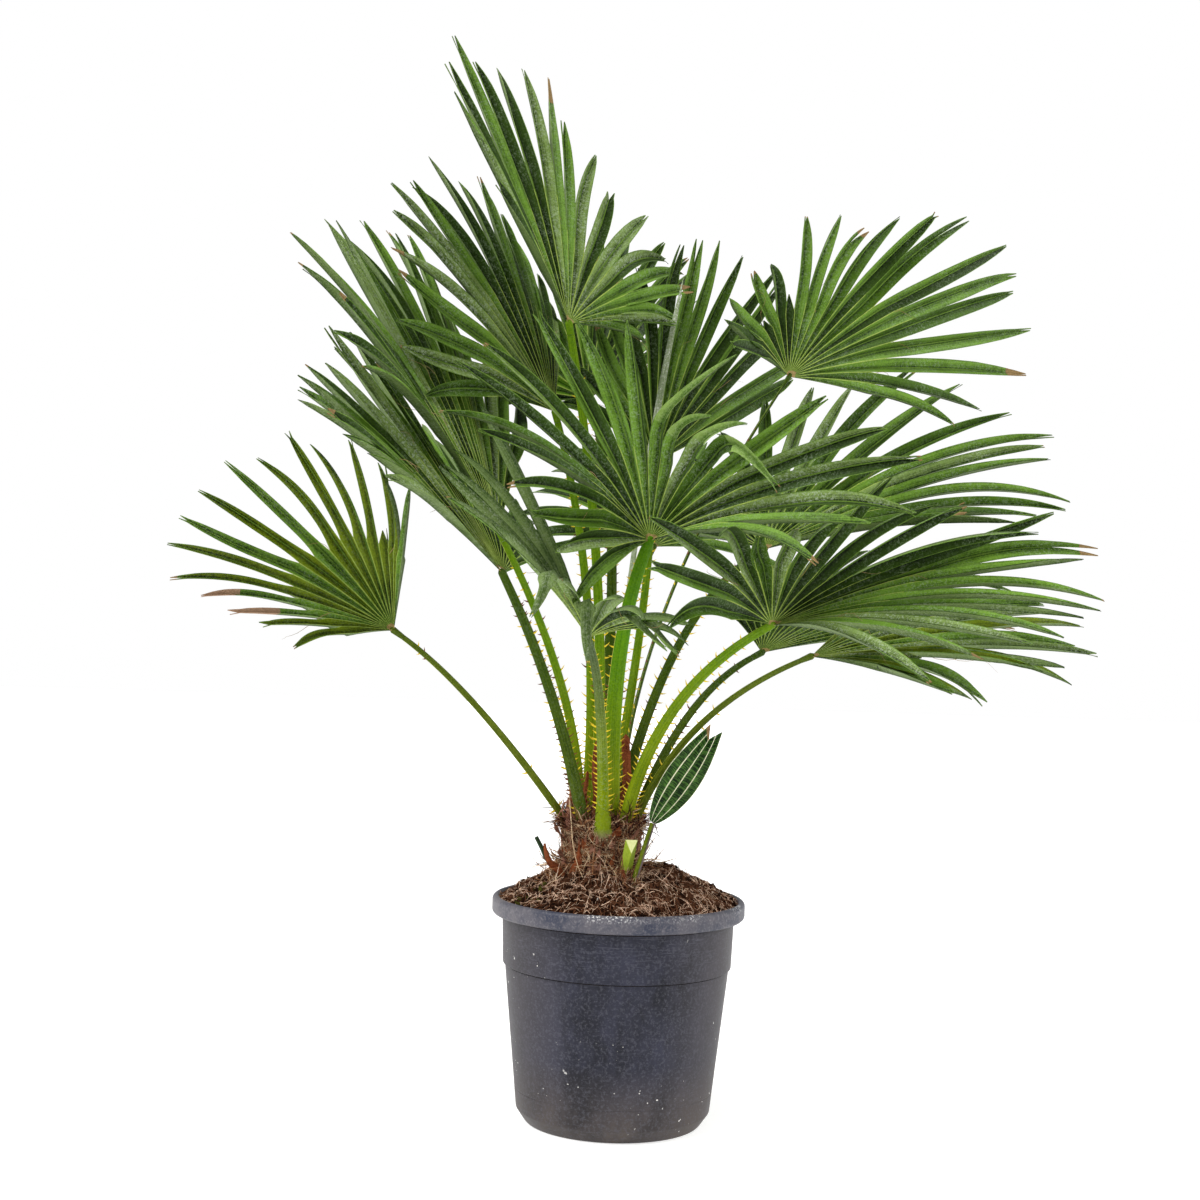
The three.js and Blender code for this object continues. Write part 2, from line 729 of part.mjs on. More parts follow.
function obstacle(shell, owner) {
  const box = new THREE.Box3().setFromPoints(shell.points);
  const seen = new Set();
  const edges = [];
  for (const face of shell.faces) {
    for (let i = 0; i < 3; i += 1) {
      const a = Math.min(face[i], face[(i + 1) % 3]);
      const b = Math.max(face[i], face[(i + 1) % 3]);
      const key = a * shell.points.length + b;
      if (!seen.has(key)) {
        seen.add(key);
        edges.push([shell.points[a], shell.points[b]]);
      }
    }
  }
  const faces = shell.faces.map((face) => face.map((i) => shell.points[i]));
  return { box, edges, faces, owner };
}

function edgeMeetsFace([p, q], [a, b, c]) {
  const dx = q.x - p.x;
  const dy = q.y - p.y;
  const dz = q.z - p.z;
  const e1x = b.x - a.x;
  const e1y = b.y - a.y;
  const e1z = b.z - a.z;
  const e2x = c.x - a.x;
  const e2y = c.y - a.y;
  const e2z = c.z - a.z;
  const hx = dy * e2z - dz * e2y;
  const hy = dz * e2x - dx * e2z;
  const hz = dx * e2y - dy * e2x;
  const det = e1x * hx + e1y * hy + e1z * hz;
  if (det === 0) {
    return false;
  }
  const sx = p.x - a.x;
  const sy = p.y - a.y;
  const sz = p.z - a.z;
  const u = (sx * hx + sy * hy + sz * hz) / det;
  if (u < 0 || u > 1) {
    return false;
  }
  const qx = sy * e1z - sz * e1y;
  const qy = sz * e1x - sx * e1z;
  const qz = sx * e1y - sy * e1x;
  const v = (dx * qx + dy * qy + dz * qz) / det;
  if (v < 0 || u + v > 1) {
    return false;
  }
  const t = (e2x * qx + e2y * qy + e2z * qz) / det;
  return t >= 0 && t <= 1;
}

function shellsMeet(a, b) {
  if (!a.box.intersectsBox(b.box)) {
    return false;
  }
  const crosses = (edges, faces) => edges.some((edge) => faces.some((face) => edgeMeetsFace(edge, face)));
  return crosses(a.edges, b.faces) || crosses(b.edges, a.faces);
}

function kinkOf(frond, k) {
  const row = (frond.kinks ?? []).find(([leaflet]) => leaflet === k);
  return row ? { share: row[1], aim: direction(row[2], row[3]) } : null;
}

// A leaflet leans as it grows, bends further where something is in its way, is shorter where that
// isn't enough, and is torn off at the split where nothing else helps
function placeLeaflet(frond, index, k, placed) {
  const lean = BEND_JITTER * (2 * scatter(index, k) - 1);
  const swing = SWING_JITTER * (2 * scatter(index + 50, k) - 1);
  const reach = 1 - REACH_JITTER * scatter(index + 100, k);
  const kink = kinkOf(frond, k);
  if (!(frond.torn ?? []).includes(k)) {
    for (const shortening of SHORTENINGS) {
      for (const bend of BENDS) {
        const pose = { bend: lean + bend, swing, reach: reach * shortening, kink, torn: false };
        const trial = obstacle(leafletShell(frond, k, pose, CLEARANCE), frond.name);
        if (!placed.some((other) => other.owner !== frond.name && shellsMeet(trial, other))) {
          placed.push(trial);
          return pose;
        }
      }
    }
  }
  const pose = { torn: true };
  placed.push(obstacle(leafletShell(frond, k, pose, CLEARANCE), frond.name));
  return pose;
}

function placeFronds() {
  const placed = [obstacle(spearShell(CLEARANCE), 'spear')];
  for (const frond of FRONDS) {
    frond.hubPoint = vector(frond.hub);
    frond.fan = prepareFan(frond);
    frond.hubUp = hubUp(frond);
    placed.push(obstacle(stalkShell(frond, CLEARANCE), `stalk_${frond.name}`));
  }
  FRONDS.forEach((frond, index) => {
    frond.poses = [];
    for (let k = 0; k < frond.leaflets; k += 1) {
      frond.poses.push(placeLeaflet(frond, index, k, placed));
    }
  });
}

// Frond solids: the blade joined with the short neck that meets its stalk

function solidOf(shell) {
  const mesh = new Mesh({
    numProp: 3,
    vertProperties: Float32Array.from(shell.points.flatMap((p) => [p.x, p.y, p.z])),
    triVerts: Uint32Array.from(shell.faces.flat()),
  });
  mesh.merge();
  return new Manifold(mesh);
}

function neckShell(frond) {
  const end = stalkEnd(frond);
  const slope = frond.hubPoint.clone().sub(end).normalize();
  const from = along(end, [slope, GAP]);
  const to = along(frond.hubPoint, [slope, HUB_OVERRUN]);
  const width = frond.width * STALK_TIP_SHARE;
  return limbShell({
    curve: [from, from.clone().lerp(to, 0.5), to],
    wide: stalkWide(frond),
    width: taper(width, HUB_WIDTH),
    thickness: taper(width * STALK_THICKNESS_SHARE, HUB_THICKNESS),
    steps: 1,
    sides: NECK_SIDES,
    levelFoot: false,
  });
}

function geometryFromSolid(solid) {
  const mesh = solid.getMesh();
  const geometry = new THREE.BufferGeometry();
  const positions = new Float32Array(mesh.numVert * 3);
  for (let i = 0; i < mesh.numVert; i += 1) {
    for (let axis = 0; axis < 3; axis += 1) {
      positions[3 * i + axis] = mesh.vertProperties[mesh.numProp * i + axis];
    }
  }
  geometry.setAttribute('position', new THREE.BufferAttribute(positions, 3));
  geometry.setIndex([...mesh.triVerts]);
  geometry.computeVertexNormals();
  return geometry;
}

function blade(frond) {
  const whole = solidOf(frondShell(frond)).add(solidOf(neckShell(frond)));
  return geometryFromSolid(whole);
}

// Spear, young leaf and stubs

function smallLimb(from, towards, to, width, endWidth) {
  return limbShell({
    curve: [from, towards, to],
    wide: levelAcross(from, to),
    width: taper(width, endWidth),
    thickness: taper(width * LIMB_THICKNESS_SHARE, endWidth * LIMB_THICKNESS_SHARE),
    steps: LIMB_STEPS,
    sides: LIMB_SIDES,
    levelFoot: true,
  });
}

function spearShell(grow) {
  const foot = new THREE.Vector3(STEM_X, STEM_Y, STEM_TOP + GAP);
  const width = SPEAR_WIDTH + 2 * grow;
  return smallLimb(foot, vector(SPEAR_KNEE), vector(SPEAR_TIP), width, SPEAR_TIP_WIDTH + 2 * grow);
}

// Height of the soil under the inner edge of a limb's foot
function soilUnder([x, y], width) {
  const radius = Math.hypot(x, y) - width / 2;
  const out = Math.max(0, (radius - SOIL_FLAT_RADIUS) / (SOIL_SHOULDER_RADIUS - SOIL_FLAT_RADIUS));
  return SOIL_HEIGHT + (SOIL_SHOULDER_HEIGHT - SOIL_HEIGHT) * out;
}

// A limb that stands on the soil
function straightLimb(foot, top, width, endWidth) {
  const from = vector([...foot, soilUnder(foot, width) + GAP]);
  const to = vector(top);
  const shell = smallLimb(from, from.clone().lerp(to, 0.5), to, width, endWidth);
  return geometryOf(shell.points, shell.faces);
}

// Middle point of the young leaf at a share of its length and of its half width, and the pleats' way out
function youngPoint(axes, t, across) {
  const opened = Math.sin(Math.PI * YOUNG_OUTLINE_END * t ** YOUNG_OUTLINE_POWER);
  const width = YOUNG_STALK_WIDTH + (YOUNG_WIDTH - YOUNG_STALK_WIDTH) * opened;
  const notch = YOUNG_NOTCH * t ** 6 * (1 - Math.abs(across));
  const bulge = YOUNG_BULGE * (1 - across * across) * Math.sin(Math.PI * t);
  const distance = YOUNG_START + (axes.length - YOUNG_START) * t - notch;
  return along(axes.hub, [axes.aim, distance], [axes.side, across * width / 2], [axes.up, bulge]);
}

function youngAxes() {
  const hub = vector(YOUNG_HUB);
  const tip = vector(YOUNG_TIP);
  const aim = tip.clone().sub(hub).normalize();
  const up = new THREE.Vector3(0, -1, 0);
  up.addScaledVector(aim, -up.dot(aim)).normalize();
  return { hub, aim, up, side: aim.clone().cross(up), length: hub.distanceTo(tip) };
}

function youngLeaf() {
  const axes = youngAxes();
  const lines = 2 * YOUNG_PLEATS + 1;
  const shell = new Shell();
  for (let i = 0; i <= YOUNG_STEPS; i += 1) {
    const t = i / YOUNG_STEPS;
    const depth = YOUNG_PLEAT_DEPTH / 2 * Math.min(1, 4 * t * (1.15 - t));
    for (let j = 0; j < lines; j += 1) {
      const pleat = j % 2 === 0 ? depth : -depth;
      for (const sign of [1, -1]) {
        const middle = youngPoint(axes, t, j / (lines - 1) * 2 - 1);
        shell.point(along(middle, [axes.up, pleat + sign * YOUNG_THICKNESS / 2]));
      }
    }
  }
  const index = (i, j, layer) => (i * lines + j) * 2 + layer;
  const edge = lines - 1;
  for (let i = 0; i < YOUNG_STEPS; i += 1) {
    for (let j = 0; j < edge; j += 1) {
      shell.quad(index(i, j, 0), index(i, j + 1, 0), index(i + 1, j + 1, 0), index(i + 1, j, 0));
      shell.quad(index(i, j + 1, 1), index(i, j, 1), index(i + 1, j, 1), index(i + 1, j + 1, 1));
    }
    shell.quad(index(i, 0, 0), index(i + 1, 0, 0), index(i + 1, 0, 1), index(i, 0, 1));
    shell.quad(index(i + 1, edge, 0), index(i, edge, 0), index(i, edge, 1), index(i + 1, edge, 1));
  }
  const end = YOUNG_STEPS;
  for (let j = 0; j < edge; j += 1) {
    shell.quad(index(0, j + 1, 0), index(0, j, 0), index(0, j, 1), index(0, j + 1, 1));
    shell.quad(index(end, j, 0), index(end, j + 1, 0), index(end, j + 1, 1), index(end, j, 1));
  }
  return geometryOf(shell.points, shell.faces);
}

// The whole plant

addPiece('pot', pot(), COLOURS.pot, 0.6);
addPiece('soil', soil(), COLOURS.soil, 0.95);
addPiece('trunk', stem(), COLOURS.stem, 0.95);

placeFronds();
for (const frond of FRONDS) {
  const stalk = stalkShell(frond, 0);
  addPiece(`petiole_${frond.name}`, geometryOf(stalk.points, stalk.faces), COLOURS.stalk, 0.5);
  addPiece(`blade_${frond.name}`, blade(frond), COLOURS.frond, 0.6);
}

const spear = spearShell(0);
const youngStalk = straightLimb(YOUNG_FOOT, YOUNG_HUB, YOUNG_STALK_WIDTH, YOUNG_STALK_END_WIDTH);
addPiece('spear_leaf', geometryOf(spear.points, spear.faces), COLOURS.spear, 0.7);
addPiece('young_stalk', youngStalk, COLOURS.stalk, 0.5);
addPiece('young_leaf', youngLeaf(), COLOURS.young, 0.5);
addPiece('cut_stalk', straightLimb(CUT_FOOT, CUT_TOP, CUT_WIDTH, CUT_WIDTH), COLOURS.cut, 0.6);
const brokenStalk = straightLimb(BROKEN_FOOT, BROKEN_TOP, BROKEN_WIDTH, BROKEN_END_WIDTH);
addPiece('broken_stalk', brokenStalk, COLOURS.darkStalk, 0.6);

export default group;
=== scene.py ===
import bpy
import math
import numpy as np
from collections import namedtuple
from mathutils import Matrix, Vector


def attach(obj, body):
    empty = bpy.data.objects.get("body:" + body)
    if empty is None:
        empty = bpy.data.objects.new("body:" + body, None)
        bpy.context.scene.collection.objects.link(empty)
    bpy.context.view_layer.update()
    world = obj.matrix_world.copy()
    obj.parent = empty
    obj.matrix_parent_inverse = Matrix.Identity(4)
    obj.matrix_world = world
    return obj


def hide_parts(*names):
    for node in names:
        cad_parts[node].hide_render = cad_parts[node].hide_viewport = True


# Looks of a potted European fan palm. Sizes are in millimetres in the CAD frame (+Z up, the pot's axis on
# the Z axis, the pictured side facing -Y), and meshes are scaled to metres as they are made.
MM = 0.001

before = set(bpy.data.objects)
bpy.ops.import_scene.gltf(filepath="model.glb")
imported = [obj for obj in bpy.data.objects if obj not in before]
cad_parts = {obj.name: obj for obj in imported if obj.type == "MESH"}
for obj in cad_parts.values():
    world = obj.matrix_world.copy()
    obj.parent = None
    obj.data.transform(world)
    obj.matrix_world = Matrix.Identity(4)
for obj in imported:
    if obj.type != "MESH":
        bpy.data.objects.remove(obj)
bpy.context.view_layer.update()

# Pot, as in the CAD source
POT_HEIGHT = 265
POT_WALL = 3
LIP_RADIUS = 150
LIP_HEIGHT = 21
LIP_ROUND = 3
NECK_RADIUS = 137.5
BAND_FOOT_RADIUS = 135.5
BAND_FOOT_HEIGHT = 187
STEP_HEIGHT = 6
WALL_TOP_RADIUS = 132.5
WALL_FOOT_RADIUS = 115
WALL_FOOT_HEIGHT = 16
FOOT_RADIUS = 103
FOOT_HEIGHT = 3
MOUTH_RADIUS = 143

# Soil and stem, as in the CAD source
SOIL_EDGE_HEIGHT = 260
SOIL_SHOULDER_HEIGHT = 280
SOIL_HEIGHT = 298
SOIL_FLAT_RADIUS = 64
SOIL_SHOULDER_RADIUS = 104
STEM_X = -23
STEM_Y = 0
STEM_TOP = 352

# Stalks and fans, as in the CAD source
GAP = 0.3
STALK_SIDES = 6
STALK_STEPS = 6
STALK_FLARE_SHARE = 1.08
STALK_FLARE_AT = 0.1
STALK_TIP_SHARE = 0.7
STALK_TAPER_POWER = 0.8
STALK_THICKNESS_SHARE = 0.55
NECK_LENGTH = 14
LEAFLET_WIDTH = 19
LEAFLET_THICKNESS = 4.2
FOLD_SHARE = 0.26
SPLIT_SHARE_MAX = 0.45
FREE_STATIONS = [0.36, 0.76]
STATION_WIDTHS = [0.9, 0.56]
REACH_JITTER = 0.08
BEND_JITTER = 0.07
SWING_JITTER = 0.05
CLEARANCE = 0.6
BENDS = [0, 0.12, -0.12, 0.24, -0.24, 0.38, -0.38]
SHORTENINGS = [1, 0.82, 0.64]
EVEN_ANGLES = 0.5
FAN_SAMPLES = 240
FAN_STEP = 0.02
SPEAR_KNEE = [0, 45, 700]
SPEAR_TIP = [56, 40, 1010]
SPEAR_WIDTH = 12
SPEAR_TIP_WIDTH = 3
LIMB_SIDES = 6
LIMB_STEPS = 5
LIMB_THICKNESS_SHARE = 0.65

# Fronds, as in the CAD source: seat [angle, distance], stalk width and turn, knee, hub, leaflets, lift,
# rays [bearing, rise, reach], kinks [leaflet, share, bearing, rise] and torn leaflets
FRONDS = [
    dict(
        name="front_mid", seat=[300, 22], width=20, knee=[-22, -85, 568], hub=[20, -170, 685],
        leaflets=21, lift=0.06,
        rays=[
            [-133, -32, 115], [-137, 16, 200], [-175, 38, 315], [141, 59, 315], [76, 85, 255],
            [-34, 45, 255], [-25, 24, 310], [-25, 7, 305], [-49, -3, 215],
        ],
        kinks=[[11, 0.3, -20, 40], [12, 0.28, -30, 25], [13, 0.32, -25, 30], [14, 0.4, -35, -10]],
    ),
    dict(
        name="right_front", seat=[312, 39], width=14, turn=-60, knee=[32, -77, 513], hub=[160, -140, 595],
        leaflets=21, lift=0.05,
        rays=[
            [-125, -4, 235], [-125, 28, 265], [-84, 46, 215], [-15, 32, 270], [9, 17, 400],
            [5, 12, 390], [-10, 6, 362], [-34, -1, 335], [-68, -8, 285],
        ],
    ),
    dict(
        name="front_low", seat=[272, 40], width=13, knee=[-25, -120, 515], hub=[-45, -190, 575],
        leaflets=15, lift=0.08,
        rays=[
            [131, 56, 315], [180, 50, 270], [-139, 37, 230], [-105, 26, 165], [-75, 18, 145],
            [-38, 12, 135], [2, 8, 105],
        ],
        kinks=[[6, 0.55, -120, -60], [8, 0.3, -90, -70], [11, 0.35, -40, -30], [13, 0.4, -20, -35]],
    ),
    dict(
        name="left_low", seat=[236, 38], width=14, turn=55, knee=[-74, -80, 502], hub=[-145, -110, 645],
        leaflets=16, lift=0.02,
        rays=[[-114, 22, 260], [-139, 35, 340], [-161, 43, 330], [167, 52, 355], [126, 41, 340]],
    ),
    dict(
        name="left_high", seat=[200, 28], width=12, turn=-75, knee=[-47, -29, 496], hub=[-155, -20, 695],
        leaflets=20, lift=0.05,
        rays=[
            [-117, 32, 330], [-142, 47, 415], [-170, 58, 435], [157, 63, 445], [127, 59, 465],
            [110, 48, 435], [84, 30, 330],
        ],
    ),
    dict(
        name="far_left", seat=[195, 42], width=9, turn=-80, knee=[-176, -50, 508], hub=[-270, -70, 575],
        leaflets=17, lift=0.03, torn=[13],
        rays=[
            [-115, -8, 180], [-156, 13, 265], [-166, 32, 295], [-145, 58, 270], [-90, 55, 245],
            [-79, 33, 280],
        ],
    ),
    dict(
        name="top", seat=[245, 21], width=13, turn=-65, knee=[-18, 30, 626], hub=[-80, 0, 945],
        leaflets=19, lift=0.03,
        rays=[
            [-109, 25, 235], [-153, 59, 345], [170, 71, 360], [125, 74, 350], [85, 55, 310],
            [57, 37, 255], [31, 14, 180], [7, -7, 85],
        ],
    ),
    dict(
        name="right_high", seat=[345, 21], width=10, knee=[0, 25, 592], hub=[180, -40, 885],
        leaflets=20, lift=0.03, torn=[3, 6],
        rays=[
            [-113, 2, 190], [-121, 20, 185], [-117, 56, 160], [28, 63, 240], [34, 42, 365],
            [33, 28, 440], [35, 18, 440], [36, 5, 395], [20, -12, 200],
        ],
    ),
    dict(
        name="up_left", seat=[165, 20], width=12, turn=-45, knee=[-27, 50, 610], hub=[-95, 60, 845],
        leaflets=18, lift=0.05,
        rays=[
            [-142, 1, 195], [-140, 34, 300], [-163, 54, 350], [159, 66, 345], [109, 53, 330],
            [91, 34, 290],
        ],
    ),
    dict(
        name="far_right", seat=[342, 40], width=9, turn=-70, knee=[63, -50, 490], hub=[210, -90, 560],
        leaflets=16, lift=0.03, torn=[12],
        rays=[
            [52, 20, 170], [33, 17, 315], [18, 11, 345], [4, 4, 332], [-13, 0, 305], [-24, 1, 270],
            [-52, -6, 250], [-60, -7, 265],
        ],
    ),
    dict(
        name="right_mid", seat=[28, 20], width=12, turn=65, knee=[46, 42, 601], hub=[165, 50, 685],
        leaflets=20, lift=0.05,
        rays=[
            [172, 4, 140], [126, 23, 230], [85, 45, 300], [43, 44, 365], [22, 29, 420], [9, 23, 415],
            [-3, 16, 390], [-19, 8, 345], [-49, 3, 280],
        ],
    ),
    dict(
        name="right_low", seat=[14, 40], width=11, turn=70, knee=[66, 12, 504], hub=[163, 20, 560],
        leaflets=16, lift=0.04,
        rays=[
            [106, 16, 205], [84, 20, 325], [60, 20, 395], [40, 15, 425], [24, 10, 400], [11, 4, 300],
        ],
    ),
    dict(
        name="back_right", seat=[66, 20], width=12, knee=[30, 110, 620], hub=[30, 120, 790],
        leaflets=16, lift=0.04,
        rays=[
            [-135, 21, 180], [-141, 59, 210], [-90, 88, 280], [25, 73, 320], [34, 47, 335],
            [40, 19, 330],
        ],
    ),
    dict(
        name="back_left", seat=[120, 23], width=14, knee=[4, 115, 700], hub=[-55, 190, 875],
        leaflets=15, lift=0.04,
        rays=[
            [176, -12, 145], [151, 48, 215], [114, 65, 290], [63, 60, 310], [54, 40, 340],
            [62, 18, 345],
        ],
    ),
    dict(
        name="rear_mid", seat=[76, 40], width=13, knee=[-28, 160, 562], hub=[36, 260, 690],
        leaflets=15, lift=0.05,
        rays=[[146, -9, 255], [121, 19, 370], [95, 25, 420], [65, 19, 375], [36, -8, 275]],
    ),
    dict(
        name="rear_left", seat=[148, 35], width=11, knee=[-73, 100, 497], hub=[-158, 180, 649],
        leaflets=15, lift=0.05,
        rays=[[165, 48, 230], [140, 44, 330], [116, 34, 370], [94, 20, 360], [74, 2, 305]],
    ),
    dict(
        name="rear_right", seat=[45, 40], width=13, knee=[40, 120, 504], hub=[193, 230, 591],
        leaflets=15, lift=0.05,
        rays=[[82, -8, 295], [59, 10, 355], [32, 15, 375], [5, 10, 335], [-24, -4, 275]],
    ),
]

# Finer leaflets: rows of their fused part, free part and fork, and faces across half a leaflet
FUSED_STEPS = 7
FREE_STEPS = 18
FORK_STEPS = 5
BLADE_COLUMNS = 6
RIB_COLUMN = 0
RIDGE_COLUMN = 2
UNDER_COLUMN = 4
BLADE_THICKNESS = 0.7
HUB_START = 3.5
FUSED_POWER = 1.6
LEAFLET_SHARES = [0, 0.2, 0.45, 0.65, 0.8, 0.92, 1]
LEAFLET_WIDTHS = [1, 1.05, 1.04, 0.93, 0.75, 0.46, 0.12]
WIDTH_SHARES = {"far_left": 0.6, "left_high": 1.2, "left_low": 1.15, "top": 1.08}
FINE_FOLD_SHARE = 0.42
LEAF_SHINE = 0.05
# Painted shade in a leaf's fold: how light a leaf's skin is painted from the fold out to this width, and
# where it has no fold
FOLD_SHADE_WIDTH = 9
FOLD_SHADES = [-0.2, 0.42]
PLAIN_SHADE = 0.12
# The outer edge: how it eases out of the seam, curls up and ends
EDGE_EASE = 0.25
EDGE_CURL_SHARE = 0.05
TIP_WIDTH = 0.5
TORN_REACH = [10, 26]
TORN_POINT_SHARE = 0.05
# Pale lines along the rib and the outer edge: width, and least and greatest share of the half leaflet
RIB_LINE = [0.6, 0.09, 0.4]
RIDGE_LINE = [0.9, 0.07, 0.4]
RIDGE_ROWS = 9
HEART_ROWS = 1
# Forks at the tips, by share of the free part, and how far they open
FORK_RANGE = [0.82, 0.97]
DEEP_FORK_RANGE = [0.55, 0.8]
DEEP_FORK_SHARE = 0.22
FORK_SPREAD = [1, 5]
TWIST = 0.7
SWAY = 6
DROOP = 24
# Folded parts of bent leaflets, by frond and leaflet: the share of their length that is left, and their droop
CURLS = {
    ("front_mid", 11): [0.95, 0],
    ("front_mid", 12): [0.45, 6],
    ("front_mid", 13): [0.62, 22],
    ("front_mid", 14): [0.75, 46],
}
PLAIN_CURL = [1, 16]
CURL_ROUND = 0.17
CURL_BOW = 0.05
CURLED_TWIST = 0.7
CURLED_NARROWING = 0.3
NO_CURL = 1000
# Dead ends of leaflets, by frond and leaflet: the share of the free length where they start
DRY_ENDS = {("far_left", 2): 0.5, ("far_left", 3): 0.72}
BROWN_SHARE = 0.45
BROWN_ROWS = 3
HUB_WIDTH = 9
HUB_THICKNESS = 6.6
HUB_OVERRUN = 4.2
NECK_STEPS = 5
NECK_SIDES = 12
NECK_END_SHARE = 0.5
THREAD_SHARE = 0.3
THREAD_LENGTH = [25, 90]
THREAD_RADIUS = 0.32
THREAD_TAPER = [1, 1, 1, 0.9, 0.8, 0.7, 0.5, 0.3]
THREAD_BEND = 0.35
THREAD_WAVE = 0.12
THREAD_WAVE_RATE = 5

# Looks of each frond's leaflets and of its stalk, where they aren't the plain ones
PLAIN_TINTS = ["deep", "mid"]
FROND_TINTS = {
    "front_mid": ["mid", "dusty", "mid", "deep"],
    "right_front": ["mid", "mid", "dusty", "deep"],
    "front_low": ["dusty", "deep", "mid"],
    "left_low": ["dusty", "deep", "mid"],
    "left_high": ["mid", "dusty", "mid", "deep"],
    "far_left": ["olive", "olive", "mid"],
    "top": ["dusty", "mid", "dusty"],
    "right_high": ["mid", "deep", "mid"],
    "up_left": ["deep", "dusty", "mid"],
    "far_right": ["mid", "olive", "dusty"],
    "right_mid": ["deep", "mid", "dusty"],
    "back_left": ["deep", "mid", "fresh"],
}
PLAIN_STALK_TINT = "dark_stalk"
STALK_TINTS = {
    "front_mid": "bright_stalk", "right_front": "stalk", "front_low": "grey_stalk", "left_high": "stalk",
    "far_left": "pale_stalk", "top": "stalk", "up_left": "stalk", "far_right": "pale_stalk",
    "back_right": "stalk",
}
# Painted shade: the darker look that one half blade of some leaflets takes, as if it lay in shade, and how
# many leaflets have one
SHADED_LOOKS = {"mid": "dark", "dusty": "dark", "deep": "dark", "olive": "mid", "fresh": "mid"}
SHADED_SHARE = 0.65
SHADED_SHARES = {"top": 0.2, "up_left": 0.35, "right_high": 0.3, "left_high": 0.45, "far_left": 0.1}
# What is added to a frond's number, so that each trait of its leaflets has a chance of its own
LOOK_CHANCE = 7
SWING_CHANCE = 50
REACH_CHANCE = 100
FORM_CHANCE = 200
FORK_CHANCE = 230
BROWN_CHANCE = 240
BROWN_ROWS_CHANCE = 250
SHADE_CHANCE = 260
THREAD_CHANCE = 400
THREAD_LENGTH_CHANCE = 500
THREAD_BEND_CHANCE = 600

# Finer stalks: corners round the section in degrees, and the faces that are margins
STALK_ROWS = 36
STALK_ANGLES = [0, 12, 40, 70, 110, 140, 168, 180, 192, 220, 250, 290, 320, 348]
STALK_EDGE_COLUMNS = [0, 6, 7, 13]
STALK_UPPER_SHARE = 0.7
# Spines: where they start and end, how far apart they are far up the stalk and at its foot, and their shape
SPINE_START = 12
SPINE_END_SHARE = 0.93
SPINE_STEP = [11, 3.2]
SPINE_STEP_JITTER = 3
SPINE_DENSE = 150
SPINE_SIDES = 4
LENGTH_STEPS = 20
SPINE_DEPTH_SHARE = 0.94
SPINE_LENGTH = [4, 8.5]
SPINE_SHRINKING = 0.4
SPINE_RADIUS = [0.92, 1.38]
SPINE_TAPER = [1, 0.75, 0.42, 0.08]
SPINE_LEAN = [-0.2, 0.5]
SPINE_CURVE = 0.35
SPINE_SHARES = {"far_left": 0.12, "far_right": 0.3, "right_low": 0.7, "top": 0.6}
RED_SPINES = {"dark_stalk": 0.5}
RED_SPINE_SHARE = 0.12
RED_SPINE_CHANCE = 9
SPINE_GAP_CHANCE = 30
# The stalks' colour changes between these heights, from that of the foot
FOOT_FADE = [400, 560]
BASE_FADE = [339, 351]
# Fibre is kept off the front of this stalk's foot, within an angle and a depth
BARE_FOOT = "front_low"
BARE_ANGLE = 19
BARE_DEPTH = 9
# Its flared base: [height, width, how far it stands out from the stem], and its faces across and round
BASE_ROWS = [
    [335, 16, 0.5], [340, 20, 2.5], [346, 22, 4.5], [356, 20, 5.5], [368, 17.5, 5.5], [384, 15.5, 5.5],
    [398, 13, 5.5],
]
BASE_CORNERS = 9
BASE_ROUND_POWER = 2.5
BASE_ROUND_SHARE = 1.4

# Any way that no strand runs along
STRAND_REFERENCE = [0.32, 0.51, 0.79]

# Finer pot: sides, the ring near its foot, the grooves and the roundings of its corners
POT_SIDES = 160
RING_HEIGHT = 40
RING_DEPTH = 0.6
RING_LIP = 0.1
GROOVE_DROPS = [2.6, 1.5, 1.2]
GROOVE_DEPTH = 0.3
BAND_CHAMFER = 0.5
SEAM_HEIGHT = 2.5
SEAM_DEPTH = 0.5
INSIDE_DROP = 20
INSIDE_STEP = 4
WALL_ROUND = 1.6
BAND_ROUND = 1
RIM_ROUND = 2.2
ROUND_STEPS = 4
ROUND_SHARE_MAX = 0.45
# Where the pot is dusty, with painted sheen at its sides, scuffed, specked and chipped: half widths and
# heights
DUST_AND_SHEEN_SIDES = [50, 140]
DUSTY_FOOT_HEIGHT = 90
SCUFFED_HEIGHTS = [195, 210]
SPECKED_FROM = [30, 48]
SPECKED_TO = [62, 80]
CHIPPED_HEIGHTS = [256, 264]

# Finer soil: lumps [height, size, seed], crumbs, and a mossy patch
SOIL_RINGS = 50
SOIL_SIDES = 160
SOIL_RING_POWER = 0.8
SOIL_GAP = 0.6
SOIL_LUMPS = [[2.6, 34, 3], [1.6, 12, 4], [0.7, 5, 5]]
SOIL_SEED = 11
SOIL_REACH_SHARE = 0.985
WOBBLE_WAVES = 7
CRUMB_COUNT = 3600
CRUMB_SIZE = [0.8, 4.2]
CRUMB_RISE = 0.2
CRUMB_UNEVEN = [0.6, 1.4]
CRUMB_SHARE = 0.6
PERLITE_COUNT = 16
PERLITE_SIZE = 1.4
MOSS_PLACE = [-96, -62]
MOSS_RADIUS = 30
MOSS_SHARE = 0.16
